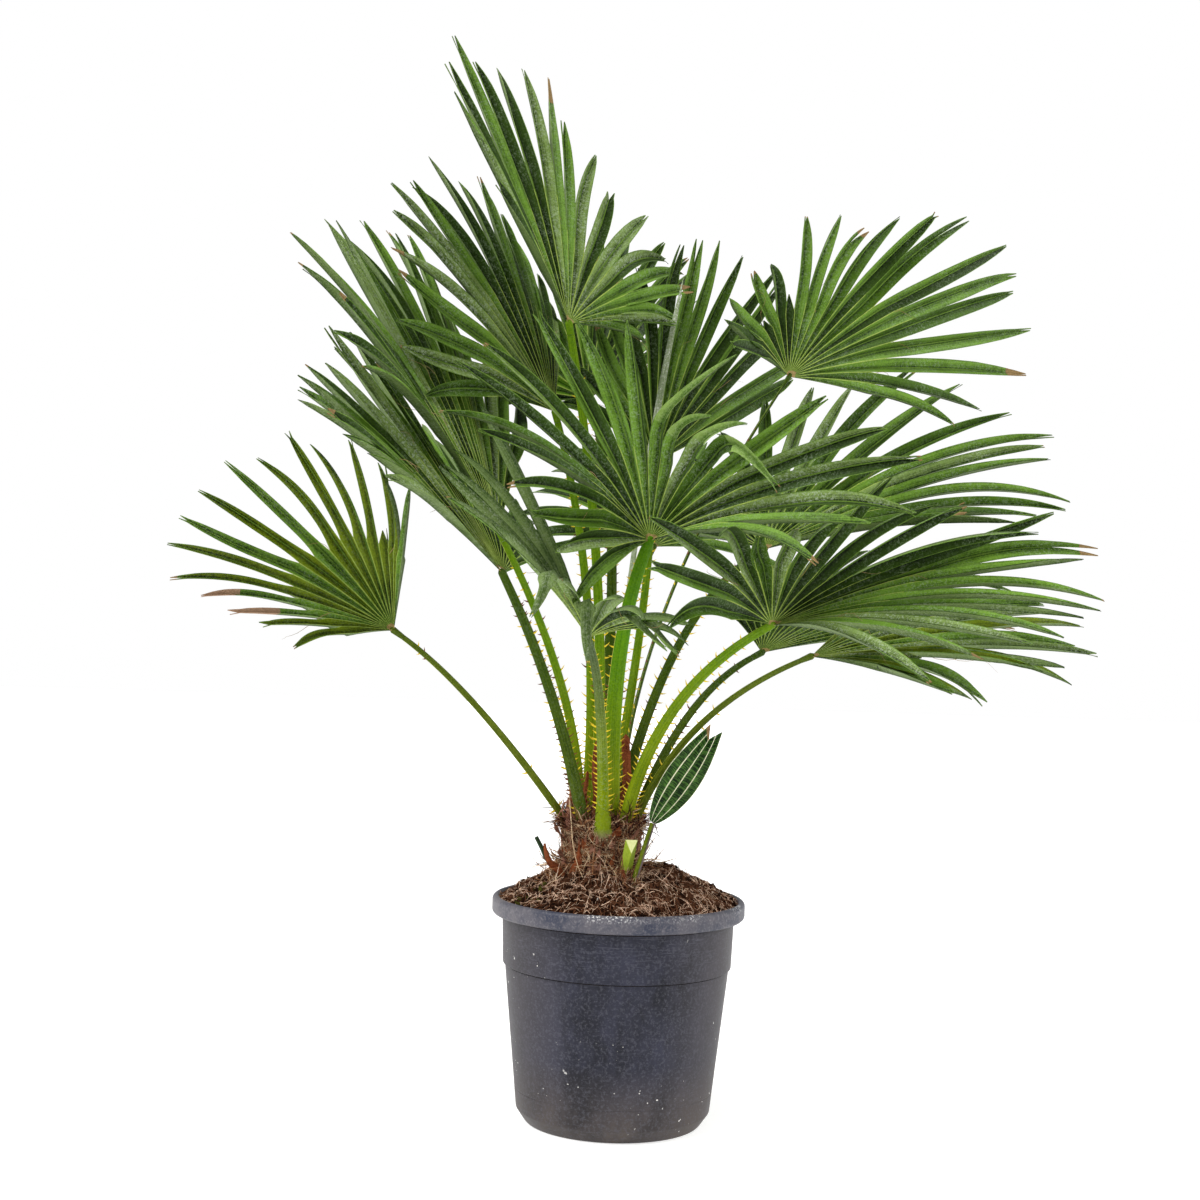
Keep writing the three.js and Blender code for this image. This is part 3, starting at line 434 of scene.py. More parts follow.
# Fibres that lie on the soil in low waves, and a few that stand up
SOIL_FIBRE_COUNT = 4000
SOIL_FIBRE_LENGTH = [10, 54]
SOIL_FIBRE_CURL = [0.3, 1.1]
SOIL_FIBRE_RADIUS = [0.17, 0.47]
SOIL_FIBRE_TAPER = [1, 1, 1, 1, 0.9, 0.8, 0.6, 0.3]
SOIL_FIBRE_SPREAD = [1, 1, 0.35]
SOIL_FIBRE_RISE = [0, 0, 0.25]
SOIL_FIBRE_START = 0.5
SOIL_FIBRE_FLOOR = 0.4
LIGHT_FIBRE_SHARE = 0.38
STANDING_SHARE = 0.05
STANDING_RISE = 0.9
WAVE_HEIGHT = 2.4
WAVE_RATE = 0.4
MOUTH_GAP = 1

# Finer stem: rings and lumps [height, size, seed], and how it closes at the top
STEM_LEVELS = [[0, 50], [0.3, 45], [0.7, 45], [1, 47]]
STEM_REACH = STEM_LEVELS[0][1]
STEM_ROWS = 44
STEM_SIDES = 150
STEM_DEPTH = 3
STEM_LUMPS = [[3, 26, 6], [2, 9, 7]]
STEM_ENDS = [SOIL_HEIGHT - 8, STEM_TOP + 4]
STEM_CLOSED_HEIGHT = STEM_TOP + 8
STEM_CLOSING = [0.8, 0.4, 0.02]
STEM_SEED = 23
FIBRE_THINNING = 0.7
# Matted hair
HAIR_COUNT = 4900
HAIR_STEPS = 6
HAIR_LEVELS = [SOIL_HEIGHT - 4, STEM_TOP + 2]
HAIR_LIMITS = [SOIL_HEIGHT - 5, STEM_TOP + 8]
HAIR_CLUMP_SIZE = 17
HAIR_CLUMP_SEED = 8
HAIR_CLUMP_CHANCE = 1.1
HAIR_TURN = 1.4
HAIR_LENGTH = [7, 31]
HAIR_DEPTH = [-1.5, 2]
HAIR_LIFT = [2.2, 9]
LOOSE_HAIR_SHARE = 0.16
HAIR_RADIUS = [0.26, 0.6]
HAIR_LOOKS = {"fibre": 0.36, "pale_fibre": 0.32, "dark_fibre": 0.32}
# Bristles between the stalks
TUFT_COUNT = 2600
TUFT_STEPS = 6
TUFT_DEPTH = 36
TUFT_LEVELS = [STEM_TOP - 10, STEM_TOP + 2]
TUFT_OUTWARD = 0.35
TUFT_SPREAD = 0.4
TUFT_LENGTH = [14, 42]
TUFT_CURL = [0.1, 0.55]
TUFT_RADIUS = [0.3, 0.85]
TUFT_LOOKS = {"fibre": 0.3, "pale_fibre": 0.1, "dark_fibre": 0.48, "papery": 0.12}
# Root-like fibre that spreads over the soil
SKIRT_COUNT = 300
SKIRT_STEPS = 8
SKIRT_LEVELS = [SOIL_HEIGHT, SOIL_HEIGHT + 12]
SKIRT_START = 0.5
SKIRT_SLOPE = -0.5
SKIRT_SPREAD = 0.45
SKIRT_LENGTH = [14, 48]
SKIRT_CURL = [0.15, 0.55]
SKIRT_FLOOR = 0.8
SKIRT_RADIUS = [0.4, 1.1]
SKIRT_LOOKS = {"fibre": 0.5, "pale_fibre": 0.3, "dark_fibre": 0.2}
# Short fibre round the feet of the stubs
FOOT_FIBRE_COUNT = 110
FOOT_FIBRE_STEPS = 6
FOOT_FIBRE_REACH = [5, 11]
FOOT_FIBRE_SINK = 1
FOOT_FIBRE_SPREAD = 0.6
FOOT_FIBRE_LENGTH = [6, 18]
FOOT_FIBRE_CURL = [0.2, 0.8]
FOOT_FIBRE_RADIUS = [0.3, 0.8]
FOOT_FIBRE_LOOKS = {"fibre": 0.4, "pale_fibre": 0.2, "dark_fibre": 0.4}
WANDERING = 0.16

# Dry sheaths on the stem: [angle, foot height, height, foot width, lean, look]
SHEATHS = [
    [233, 290, 44, 17, 0.08, "sheath"],
    [243, 326, 12, 12, 0.25, "sheath"],
    [292, 342, 13, 13, 0.2, "sheath"],
    [214, 344, 40, 15, 0.05, "papery"],
    [206, 300, 26, 9, 0.4, "papery"],
    [190, 322, 30, 9, 0.3, "papery"],
    [262, 300, 14, 8, 0.2, "papery"],
    [300, 296, 18, 9, 0.3, "sheath"],
    [318, 330, 22, 10, 0.35, "papery"],
    [345, 300, 26, 13, 0.2, "sheath"],
    [20, 296, 38, 18, 0.1, "papery"],
    [60, 300, 34, 20, 0.12, "sheath"],
    [100, 306, 44, 17, 0.08, "papery"],
    [140, 292, 36, 20, 0.14, "sheath"],
]
SHEATH_STEPS = 6
SHEATH_ACROSS = 4
SHEATH_PROUD = 2.4
SHEATH_HOLLOW = 1.2
SHEATH_ROUGHNESS = 1.2
SHEATH_EDGE_SHARE = 0.3
SHEATH_RAGGED_SHARE = 0.2
SHEATH_NARROWING = 0.75
SHEATH_LEAN_ASIDE = 0.12
# Scraps of sheath in the hair: height, width and lean, and their steps along and across
SCRAP_COUNT = 70
SCRAP_HEIGHT = [6, 16]
SCRAP_WIDTH = [3.5, 6.5]
SCRAP_LEAN = 0.5
SCRAP_LEVELS = [SOIL_HEIGHT - 2, STEM_TOP - 8]
SCRAP_STEPS = 3
SCRAP_ACROSS = 2
RED_SCRAP_SHARE = 0.2
# Dry sheaths that stand between the stalks: [x, y, foot height, height, foot width, top width]
INNER_SHEATHS = [
    [4, -12, 350, 110, 14, 9],
    [-32, -29, 350, 104, 9, 5],
    [-60, -22, 346, 60, 10, 4],
    [-43, -26, 350, 66, 8, 4],
]
# Stumps of dead sheaths that stand in the soil, in the same terms
STUMPS = [
    [4, -74, 282, 26, 12, 3],
    [13, -74, 281, 17, 9, 2],
    [-4, -70, 286, 13, 8, 2],
    [-70, -34, 290, 16, 10, 3],
]
STANDING_SEED = 29
STANDING_ROWS = 12
STANDING_CORNERS = 5
STANDING_WIDTH_JITTER = 0.3
STANDING_SWAY = 1.5
STANDING_SWAY_RATE = 7
STANDING_HOLLOW = 3
STANDING_ROUGHNESS = 1.6
STANDING_EDGE_DROP = 0.06
# Single strands at the stem: points, thickness and look
LOOSE_STRANDS = [
    [[[-51, -24, 367], [-58, -26, 377], [-66, -26, 378], [-70, -25, 370], [-67, -24, 360], [-61, -22, 355]],
     1.3, "papery"],
    [[[-48, -30, 372], [-56, -32, 384], [-63, -30, 383], [-64, -28, 372], [-58, -26, 362]], 1.2, "papery"],
    [[[-56, -36, 362], [-62, -40, 370], [-70, -38, 370], [-75, -35, 362]], 1.1, "papery"],
    [[[-62, -36, 404], [-61, -40, 378], [-58, -44, 352], [-56, -49, 332], [-50, -56, 310], [-43, -62, 295]],
     0.6, "pale_fibre"],
    [[[34, -34, 366], [38, -37, 360], [41, -38, 352], [43, -38, 346]], 0.8, "dark_fibre"],
]
LOOSE_STRAND_STEPS = 16
LOOSE_STRAND_SIDES = 5
LOOSE_STRAND_TAPER = 0.5

# Finer spear: pleats, and width and depth along it
SPEAR_ROWS = 40
SPEAR_PLEATS = 4
SPEAR_PLEAT_DEPTH = 0.8
SPEAR_SHARES = [0, 0.5, 0.8, 0.93, 1]
SPEAR_WIDTHS = [0.75, 0.8, 1.0, 0.7, 0.06]
SPEAR_THICKNESS_SHARE = 0.3

# Young leaf, as in the CAD source
YOUNG_FOOT = [15, -68]
YOUNG_HUB = [35, -64, 361]
YOUNG_TIP = [105, -88, 475]
YOUNG_PLEATS = 4
YOUNG_WIDTH = 42
YOUNG_PLEAT_DEPTH = 3
YOUNG_NOTCH = 16
YOUNG_BULGE = 6
YOUNG_START = 1
YOUNG_OUTLINE_POWER = 0.8
YOUNG_OUTLINE_END = 0.92
YOUNG_STALK_WIDTH = 8
YOUNG_STALK_END_WIDTH = 6.5
# Its finer rows, veins and purple stalk edge
YOUNG_ROWS = 40
YOUNG_TIP_ROWS = 2
YOUNG_VEIN_SHARE = 0.028
VEIN_WIDTH_SHARE_MAX = 2.2 * YOUNG_VEIN_SHARE
YOUNG_NOTCH_POWER = 6
YOUNG_PLEAT_END = 1.15
YOUNG_THICKNESS = 0.8
YOUNG_EDGE_WIDTHS = [5, 3.6]
YOUNG_EDGE_PLACE = 2.8

# Stubs: feet, and the cut one's corners across and ahead
STUB_SINK = 4
STUB_SIDES = 12
STUB_STEPS = 10
PATH_SIDES = 8
PATH_STEPS = 18
CUT_FOOT = [5, -56]
CUT_TOP = [12, -68, 341]
CUT_WIDTH = 14
CUT_DROP = 15
CUT_ROWS = 8
CUT_SECTION = [[-0.9, -0.6], [-1, -0.35], [0, 1], [1, -0.35], [0.9, -0.6]]
BROKEN_FOOT = [-82, -32]
BROKEN_PATH = [[-99, -42, 338], [-92, -40, 325], [-86, -38, 312], [-80, -37, 306]]
BROKEN_RADII = [2.4, 2.6, 2.6, 1.4]
BROKEN_SHEATH = [
    [-89, -43, 331], [-87, -43, 320], [-83, -41, 310], [-77, -39, 304], [-70, -37, 298], [-63, -36, 291],
]
BROKEN_SHEATH_RADII = [1.4, 2.4, 3.8, 4.6, 3.8, 2.4]
SHAGGY_FEET = [CUT_FOOT, YOUNG_FOOT, BROKEN_FOOT, [6, -72]]

# Studio
FLOOR_SIZE = 9000
FLOOR_GLOW = 0.75
CAMERA_PLACE = [-33, -2300, 617]
CAMERA_LENS = 58
CAMERA_SENSOR = 36
CAMERA_ROLL = 1.75
SURROUND_FALL = [0.3, 0.5, 1.0, 0.12]
SUNS = [
    ["left light", [-0.65, -0.3, 0.85], 3.6, 34],
    ["right light", [0.85, -0.15, 0.75], 2.5, 44],
    ["front light", [-0.1, -1, 0.7], 0.3, 50],
]

# Edges are smooth up to these angles in degrees
SMOOTH_ANGLE = 40
FIBRE_SMOOTH_ANGLE = 60
BLADE_SMOOTH_ANGLE = 35
PLEAT_SMOOTH_ANGLE = 25

# Small helpers


def vector(values):
    return np.array(values, float)


def unit(v):
    return v / np.linalg.norm(v)


def scatter(a, b):
    """A repeatable number from 0 to 1 for a pair of counts."""
    value = math.sin(a * 12.9898 + b * 78.233) * 43758.5453
    return value - math.floor(value)


def either_way(a, b):
    """A repeatable number from -1 to 1 for a pair of counts."""
    return 2 * scatter(a, b) - 1


def between(limits, share):
    return limits[0] + (limits[1] - limits[0]) * share


def metres(sizes):
    return [size * MM for size in sizes]


def circle(count):
    """Angles of even steps round a circle."""
    return np.arange(count) / count * 2 * math.pi


def direction(bearing, rise):
    b = math.radians(bearing)
    e = math.radians(rise)
    return vector([math.cos(e) * math.cos(b), math.cos(e) * math.sin(b), math.sin(e)])


def bezier(curve, t):
    a, b, c = curve
    return a * (1 - t) ** 2 + b * 2 * t * (1 - t) + c * t * t


def bezier_slope(curve, t):
    a, b, c = curve
    return (b - a) * 2 * (1 - t) + (c - b) * 2 * t


def curve_length(curve):
    places = [bezier(curve, i / LENGTH_STEPS) for i in range(LENGTH_STEPS + 1)]
    return sum(np.linalg.norm(end - start) for start, end in zip(places, places[1:]))


def section_at(curve, wide, t):
    """Centre of a limb at t, its tangent, and the long and the short way across its section."""
    tangent = unit(bezier_slope(curve, t))
    across = unit(wide - tangent * wide.dot(tangent))
    return bezier(curve, t), tangent, across, np.cross(tangent, across)


def level_across(start, end):
    """Level direction at right angles to the way from one point to another."""
    return unit(vector([start[1] - end[1], end[0] - start[0], 0]))


# The source's rule: stalks


def seat_of(frond):
    angle = math.radians(frond["seat"][0])
    distance = frond["seat"][1]
    x = STEM_X + distance * math.cos(angle)
    y = STEM_Y + distance * math.sin(angle)
    return vector([x, y, STEM_TOP + GAP])


def stalk_width(frond, t):
    width = frond["width"]
    flare = width * (1 + (STALK_FLARE_SHARE - 1) * min(t / STALK_FLARE_AT, 1))
    rest = max(0, (t - STALK_FLARE_AT) / (1 - STALK_FLARE_AT))
    return flare + (width * STALK_TIP_SHARE - flare) * rest ** STALK_TAPER_POWER


def stalk_curve(frond):
    """From the seat past the knee to a neck's length short of the hub."""
    whole = [seat_of(frond), vector(frond["knee"]), vector(frond["hub"])]
    slope = unit(bezier_slope(whole, 1))
    return [whole[0], whole[1], whole[2] - slope * NECK_LENGTH]


def tube(curve, wide, width, thickness, steps, sides, level_foot):
    """Points and faces of a closed limb with an oval section."""
    points = []
    for i in range(steps + 1):
        t = i / steps
        centre, tangent, across, through = section_at(curve, wide, t)
        for angle in circle(sides):
            point = centre + across * (math.cos(angle) * width(t) / 2)
            point = point + through * (math.sin(angle) * thickness(t) / 2)
            if i == 0 and level_foot:
                point = point + tangent * ((centre[2] - point[2]) / tangent[2])
            points.append(point)
    faces = []
    for i in range(steps):
        for k in range(sides):
            a = i * sides + k
            b = i * sides + (k + 1) % sides
            faces += [[a, b, b + sides], [a, b + sides, a + sides]]
    last = steps * sides
    for k in range(1, sides - 1):
        faces += [[0, k + 1, k], [last, last + k, last + k + 1]]
    return points, faces


def stalk_wide(frond):
    """Long way of the stalk's section: level, or turned from there about the stalk."""
    start, _, end = stalk_curve(frond)
    turn = Matrix.Rotation(math.radians(frond.get("turn", 0)), 3, Vector(unit(end - start)))
    return vector(turn @ Vector(level_across(start, end)))


def stalk_shell(frond, grow):
    return tube(
        stalk_curve(frond),
        stalk_wide(frond),
        lambda t: stalk_width(frond, t) + 2 * grow,
        lambda t: stalk_width(frond, t) * STALK_THICKNESS_SHARE + 2 * grow,
        STALK_STEPS,
        STALK_SIDES,
        True,
    )


def spear_curve():
    return [vector([STEM_X, STEM_Y, STEM_TOP + GAP]), vector(SPEAR_KNEE), vector(SPEAR_TIP)]


def spear_shell(grow):
    curve = spear_curve()
    foot = SPEAR_WIDTH + 2 * grow
    tip = SPEAR_TIP_WIDTH + 2 * grow
    width = lambda t: foot + (tip - foot) * t
    thickness = lambda t: LIMB_THICKNESS_SHARE * width(t)
    across = level_across(curve[0], curve[2])
    return tube(curve, across, width, thickness, LIMB_STEPS, LIMB_SIDES, True)


# The source's rule: fans


Axes = namedtuple("Axes", "aim side up rise reach split")
Pose = namedtuple("Pose", "bend swing reach kink torn")


def catmull(before, start, end, after, t):
    linear = (end - before) * t
    square = (2 * before - 5 * start + 4 * end - after) * t * t
    cube = (3 * start - before - 3 * end + after) * t * t * t
    return 0.5 * (2 * start + linear + square + cube)


def through_points(values, place):
    last = len(values) - 1
    k = min(math.floor(place), last - 1)
    start = values[k]
    end = values[k + 1]
    before = values[k - 1] if k > 0 else 2 * start - end
    after = values[k + 2] if k + 2 <= last else 2 * end - start
    return catmull(before, start, end, after, place - k)


class Fan:
    """The leaflets of one frond: their directions, their seams and how each one lies."""

    def __init__(self, frond, index):
        self.frond = frond
        self.index = index
        self.name = frond["name"]
        self.count = frond["leaflets"]
        self.lift = frond["lift"]
        self.hub = vector(frond["hub"])
        self.torn = frond.get("torn", [])
        self.kinks = {row[0]: (row[1], direction(row[2], row[3])) for row in frond.get("kinks", [])}
        self.prepare()
        self.seam_axes = [self.axes(k / self.count) for k in range(self.count + 1)]
        self.leaf_axes = [self.axes((k + 0.5) / self.count) for k in range(self.count)]
        self.hub_up = unit(sum(axes.up for axes in self.seam_axes))
        self.poses = []

    def prepare(self):
        rays = [np.append(direction(bearing, rise), reach) for bearing, rise, reach in self.frond["rays"]]
        places = [through_points(rays, i / FAN_SAMPLES * (len(rays) - 1)) for i in range(FAN_SAMPLES + 1)]
        self.aims = np.array([unit(place[:3]) for place in places])
        self.reaches = np.array([place[3] for place in places])
        steps = np.linalg.norm(np.diff(self.aims, axis=0), axis=1)
        turned = np.append(0, np.cumsum(steps))
        even = np.arange(FAN_SAMPLES + 1) / FAN_SAMPLES
        self.shares = EVEN_ANGLES * turned / turned[-1] + (1 - EVEN_ANGLES) * even

    def aim_at(self, share):
        wanted = min(max(share, 0), 1)
        i = min(max(int(np.searchsorted(self.shares, wanted)), 1), FAN_SAMPLES)
        t = (wanted - self.shares[i - 1]) / (self.shares[i] - self.shares[i - 1])
        aim = unit(self.aims[i - 1] * (1 - t) + self.aims[i] * t)
        return aim, self.reaches[i - 1] * (1 - t) + self.reaches[i] * t

    def axes(self, share):
        """Aim outward, side towards the next leaflet, up out of the upper face."""
        aim, reach = self.aim_at(share)
        start = max(share - FAN_STEP, 0)
        end = min(share + FAN_STEP, 1)
        side = self.aim_at(end)[0] - self.aim_at(start)[0]
        pitch = np.linalg.norm(side) / ((end - start) * self.count)
        side = unit(side - aim * side.dot(aim))
        rise = vector([0, 0, 1]) - aim * aim[2]
        split = min(LEAFLET_WIDTH / pitch, SPLIT_SHARE_MAX * reach)
        return Axes(aim, side, np.cross(side, aim), rise, reach, split)

    def point(self, axes, distance):
        t = distance / axes.reach
        bow = self.lift * axes.reach * 4 * t * (1 - t)
        return self.hub + axes.aim * distance + axes.rise * bow

    def seam(self, k):
        axes = self.seam_axes[k]
        return self.point(axes, axes.split) + axes.up * (FOLD_SHARE * LEAFLET_WIDTH / 2)

    def line(self, axes, pose, share):
        """Middle of a leaflet's free part at a share of its length, with its aim, side and up there."""
        free = axes.reach * pose.reach - axes.split
        straight = min(share, pose.kink[0]) if pose.kink else share
        sway = free * straight * straight
        centre = self.point(axes, axes.split + free * straight)
        centre = centre + axes.up * (pose.bend * sway) + axes.side * (pose.swing * sway)
        if straight == share:
            return centre, axes.aim, axes.side, axes.up
        aim = pose.kink[1]
        side = unit(axes.side - aim * axes.side.dot(aim))
        return centre + aim * (free * (share - straight)), aim, side, np.cross(side, aim)

    def leaflet_shell(self, k, pose, grow):
        """Coarse closed shell of one leaflet, a little larger all round, to test for room."""
        half = LEAFLET_THICKNESS / 2 + grow
        points = [self.hub + self.hub_up * half, self.hub - self.hub_up * half]
        for number, sign in [(k, -1), (k + 1, 1)]:
            axes = self.seam_axes[number]
            centre = self.seam(number) + axes.side * (sign * grow)
            points += [centre + axes.up * half, centre - axes.up * half]
        axes = self.leaf_axes[k]
        rib = self.point(axes, axes.split) - axes.up * (FOLD_SHARE * LEAFLET_WIDTH / 2)
        points += [rib + axes.up * half, rib - axes.up * half]
        lu, ll, ru, rl, mu, ml = 2, 3, 4, 5, 6, 7
        faces = [[0, ru, mu], [0, mu, lu], [1, ml, rl], [1, ll, ml]]
        faces += [[0, lu, ll], [0, ll, 1], [0, rl, ru], [0, 1, rl]]

        def quad(a, b, c, d):
            faces.extend([[a, b, c], [a, c, d]])

        if pose.torn:
            quad(lu, mu, ml, ll)
            quad(mu, ru, rl, ml)
            return points, faces
        stations = FREE_STATIONS
        if pose.kink:
            stations = [pose.kink[0], (1 + pose.kink[0]) / 2]
        for share, width_share in zip(stations, STATION_WIDTHS):
            centre, _, side, up = self.line(axes, pose, share)
            width = LEAFLET_WIDTH * width_share
            fold = up * (FOLD_SHARE * width / 2)
            left = centre - side * (width / 2 + grow) + fold
            right = centre + side * (width / 2 + grow) + fold
            first = len(points)
            for middle in (left, right, centre - fold):
                points += [middle + up * half, middle - up * half]
            flu, fll, fru, frl, fmu, fml = range(first, first + 6)
            quad(lu, mu, fmu, flu)
            quad(mu, ru, fru, fmu)
            quad(ml, ll, fll, fml)
            quad(rl, ml, fml, frl)
            quad(lu, flu, fll, ll)
            quad(fru, ru, rl, frl)
            lu, ll, ru, rl, mu, ml = flu, fll, fru, frl, fmu, fml
        centre, aim, _, _ = self.line(axes, pose, 1)
        tip = len(points)
        points.append(centre + aim * grow)
        faces += [[lu, mu, tip], [mu, ru, tip], [ml, ll, tip], [rl, ml, tip], [lu, tip, ll], [ru, rl, tip]]
        return points, faces

    def place(self, k, placed):
        """Bends or shortens a leaflet until it is clear of what stands already, or tears it off."""
        lean = BEND_JITTER * either_way(self.index, k)
        swing = SWING_JITTER * either_way(self.index + SWING_CHANCE, k)
        reach = 1 - REACH_JITTER * scatter(self.index + REACH_CHANCE, k)
        others = [other for other in placed if other.owner != self.name]
        kink = self.kinks.get(k)
        if k not in self.torn:
            for shortening in SHORTENINGS:
                for bend in BENDS:
                    pose = Pose(lean + bend, swing, reach * shortening, kink, False)
                    trial = Obstacle(self.leaflet_shell(k, pose, CLEARANCE), self.name)
                    if not any(trial.meets(other) for other in others):
                        placed.append(trial)
                        return pose
        pose = Pose(lean, swing, reach, None, True)
        placed.append(Obstacle(self.leaflet_shell(k, pose, CLEARANCE), self.name))
        return pose


class Obstacle:
    """A shell's edges and faces, to find where an edge of one shell goes through a face of another."""

    def __init__(self, shell, owner):
        points = np.array(shell[0])
        corners = points[np.array(shell[1])]
        pairs = {tuple(sorted((face[i], face[i - 1]))) for face in shell[1] for i in range(3)}
        ends = points[np.array(sorted(pairs))]
        self.owner = owner
        self.low = points.min(0)
        self.high = points.max(0)
        self.starts = ends[:, 0]
        self.ways = ends[:, 1] - ends[:, 0]
        self.corners = corners[:, 0]
        self.first = corners[:, 1] - corners[:, 0]
        self.second = corners[:, 2] - corners[:, 0]

    def goes_through(self, other):
        way = self.ways[:, None]
        h = np.cross(way, other.second[None])
        det = (other.first * h).sum(-1)
        det = np.where(det == 0, np.nan, det)
        start = self.starts[:, None] - other.corners[None]
        u = (start * h).sum(-1) / det
        q = np.cross(start, other.first[None])
        v = (way * q).sum(-1) / det
        t = (other.second * q).sum(-1) / det
        return bool(((u >= 0) & (u <= 1) & (v >= 0) & (u + v <= 1) & (t >= 0) & (t <= 1)).any())

    def meets(self, other):
        if (self.low > other.high).any() or (other.low > self.high).any():
            return False
        return self.goes_through(other) or other.goes_through(self)


def place_fronds():
    fans = [Fan(frond, index) for index, frond in enumerate(FRONDS)]
    placed = [Obstacle(spear_shell(CLEARANCE), "spear")]
    for frond in FRONDS:
        placed.append(Obstacle(stalk_shell(frond, CLEARANCE), "stalk_" + frond["name"]))
    for fan in fans:
        for k in range(fan.count):
            fan.poses.append(fan.place(k, placed))
    return fans


# Meshes: a piece is gathered from lots of points and faces, each face with the number of its look


Lot = namedtuple("Lot", "points faces looks lay")


def lot(points, faces, looks, lay=None):
    """lay holds each point's place across and along its leaflet, stalk or strand."""
    points = np.asarray(points, float).reshape(-1, 3)
    faces = np.asarray(faces, int)
    looks = np.broadcast_to(np.asarray(looks, int), len(faces))
    lay = np.zeros((len(points), 2)) if lay is None else np.asarray(lay, float).reshape(-1, 2)
    return Lot(points, faces, looks, lay)


def add_object(name, data):
    thing = bpy.data.objects.new(name, data)
    bpy.context.scene.collection.objects.link(thing)
    return thing


def make_piece(name, lots, looks, stands_for, smooth_angle=SMOOTH_ANGLE):
    """One mesh object out of lots, with a material for each look, that rides on the root body."""
    points = np.concatenate([part.points for part in lots]) * MM
    lay = np.concatenate([part.lay for part in lots]) * MM
    first = np.cumsum([0] + [len(part.points) for part in lots])
    corners = np.concatenate([(part.faces + start).ravel() for part, start in zip(lots, first)])
    sizes = np.concatenate([np.full(len(part.faces), part.faces.shape[1]) for part in lots])
    look_numbers = np.concatenate([part.looks for part in lots])
    mesh = bpy.data.meshes.new(name)
    mesh.vertices.add(len(points))
    mesh.vertices.foreach_set("co", points.ravel())
    mesh.loops.add(len(corners))
    mesh.loops.foreach_set("vertex_index", corners.astype(np.int32))
    mesh.polygons.add(len(sizes))
    mesh.polygons.foreach_set("loop_start", (np.cumsum(sizes) - sizes).astype(np.int32))
    mesh.polygons.foreach_set("material_index", look_numbers.astype(np.int32))
    layer = mesh.uv_layers.new(name="lay")
    layer.data.foreach_set("uv", lay[corners].ravel())
    mesh.update(calc_edges=True)
    mesh.validate()
    mesh.shade_smooth()
    mesh.set_sharp_from_angle(angle=math.radians(smooth_angle))
    for look in looks:
        mesh.materials.append(LOOKS[look])
    piece = add_object(name, mesh)
    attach(piece, "root")
    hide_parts(*stands_for)


def grid_faces(rows, columns, wrap=False):
    """Quads between rows of points, closed round the columns when wrap is set."""
    across = columns if wrap else columns - 1
    i, j = np.meshgrid(np.arange(rows - 1), np.arange(across), indexing="ij")
    a = i * columns + j
    b = i * columns + (j + 1) % columns
    return np.stack([a, b, b + columns, a + columns], -1).reshape(-1, 4)


# Materials


def linear(colour):
    """Linear colour from the usual 0 to 255 values."""
    shares = [value / 255 for value in colour]
    return [s / 12.92 if s <= 0.04045 else ((s + 0.055) / 1.055) ** 2.4 for s in shares] + [1]


class Nodes:
    """A new material and short ways to add and join its nodes."""

    def __init__(self, name):
        self.material = bpy.data.materials.new(name)
        self.material.use_nodes = True
        self.tree = self.material.node_tree
        self.shader = self.tree.nodes["Principled BSDF"]

    def add(self, kind, **settings):
        node = self.tree.nodes.new(kind)
        for key, value in settings.items():
            setattr(node, key, value)
        return node

    def join(self, output, node, socket):
        self.tree.links.new(output, node.inputs[socket])

    def place(self, scale=(1, 1, 1), lay=False):
        """Coordinates in metres times scale, of the object or of the lie of the leaflet."""
        if lay:
            source = self.add("ShaderNodeUVMap", uv_map="lay").outputs[0]
        else:
            source = self.add("ShaderNodeTexCoord").outputs["Object"]
        mapping = self.add("ShaderNodeMapping")
        mapping.inputs["Scale"].default_value = scale
        self.join(source, mapping, "Vector")
        return mapping.outputs[0]

    def parts(self, lay=False):
        """The same coordinates as one number for each axis."""
        node = self.add("ShaderNodeSeparateXYZ")
        self.join(self.place(lay=lay), node, "Vector")
        return node.outputs

    def noise(self, place, scale=1, detail=3, roughness=0.55, distortion=0):
        node = self.add("ShaderNodeTexNoise")
        node.inputs["Scale"].default_value = scale
        node.inputs["Detail"].default_value = detail
        node.inputs["Roughness"].default_value = roughness
        node.inputs["Distortion"].default_value = distortion
        self.join(place, node, "Vector")
        return node.outputs["Fac"]

    def span(self, value, low, high, to_low=0, to_high=1):
        """Moves the range low to high onto another, and cuts off what lies outside."""
        node = self.add("ShaderNodeMapRange", clamp=True)
        for socket, number in zip(("From Min", "From Max", "To Min", "To Max"), (low, high, to_low, to_high)):
            node.inputs[socket].default_value = number
        self.join(value, node, "Value")
        return node.outputs[0]

    def mix(self, share, first, second):
        """Colour between two, which are colours or sockets."""
        node = self.add("ShaderNodeMix", data_type="RGBA")
        self.join(share, node, 0)
        for socket, colour in ((6, first), (7, second)):
            if isinstance(colour, list):
                node.inputs[socket].default_value = colour
            else:
                self.join(colour, node, socket)
        return node.outputs[2]

    def blend(self, first, second, kind="MULTIPLY"):
        node = self.add("ShaderNodeMath", operation=kind)
        for socket, value in enumerate((first, second)):
            if isinstance(value, (int, float)):
                node.inputs[socket].default_value = value
            else:
                self.join(value, node, socket)
        return node.outputs[0]

    def bump(self, height, distance, strength=1):
        node = self.add("ShaderNodeBump")
        node.inputs["Strength"].default_value = strength
        node.inputs["Distance"].default_value = distance * MM
        self.join(height, node, "Height")
        self.join(node.outputs[0], self.shader, "Normal")

    def finish(self, colour, roughness, specular):
        self.join(colour, self.shader, "Base Color")
        if isinstance(roughness, (int, float)):
            self.shader.inputs["Roughness"].default_value = roughness
        else:
            self.join(roughness, self.shader, "Roughness")
        self.shader.inputs["Specular IOR Level"].default_value = specular
        return self.material


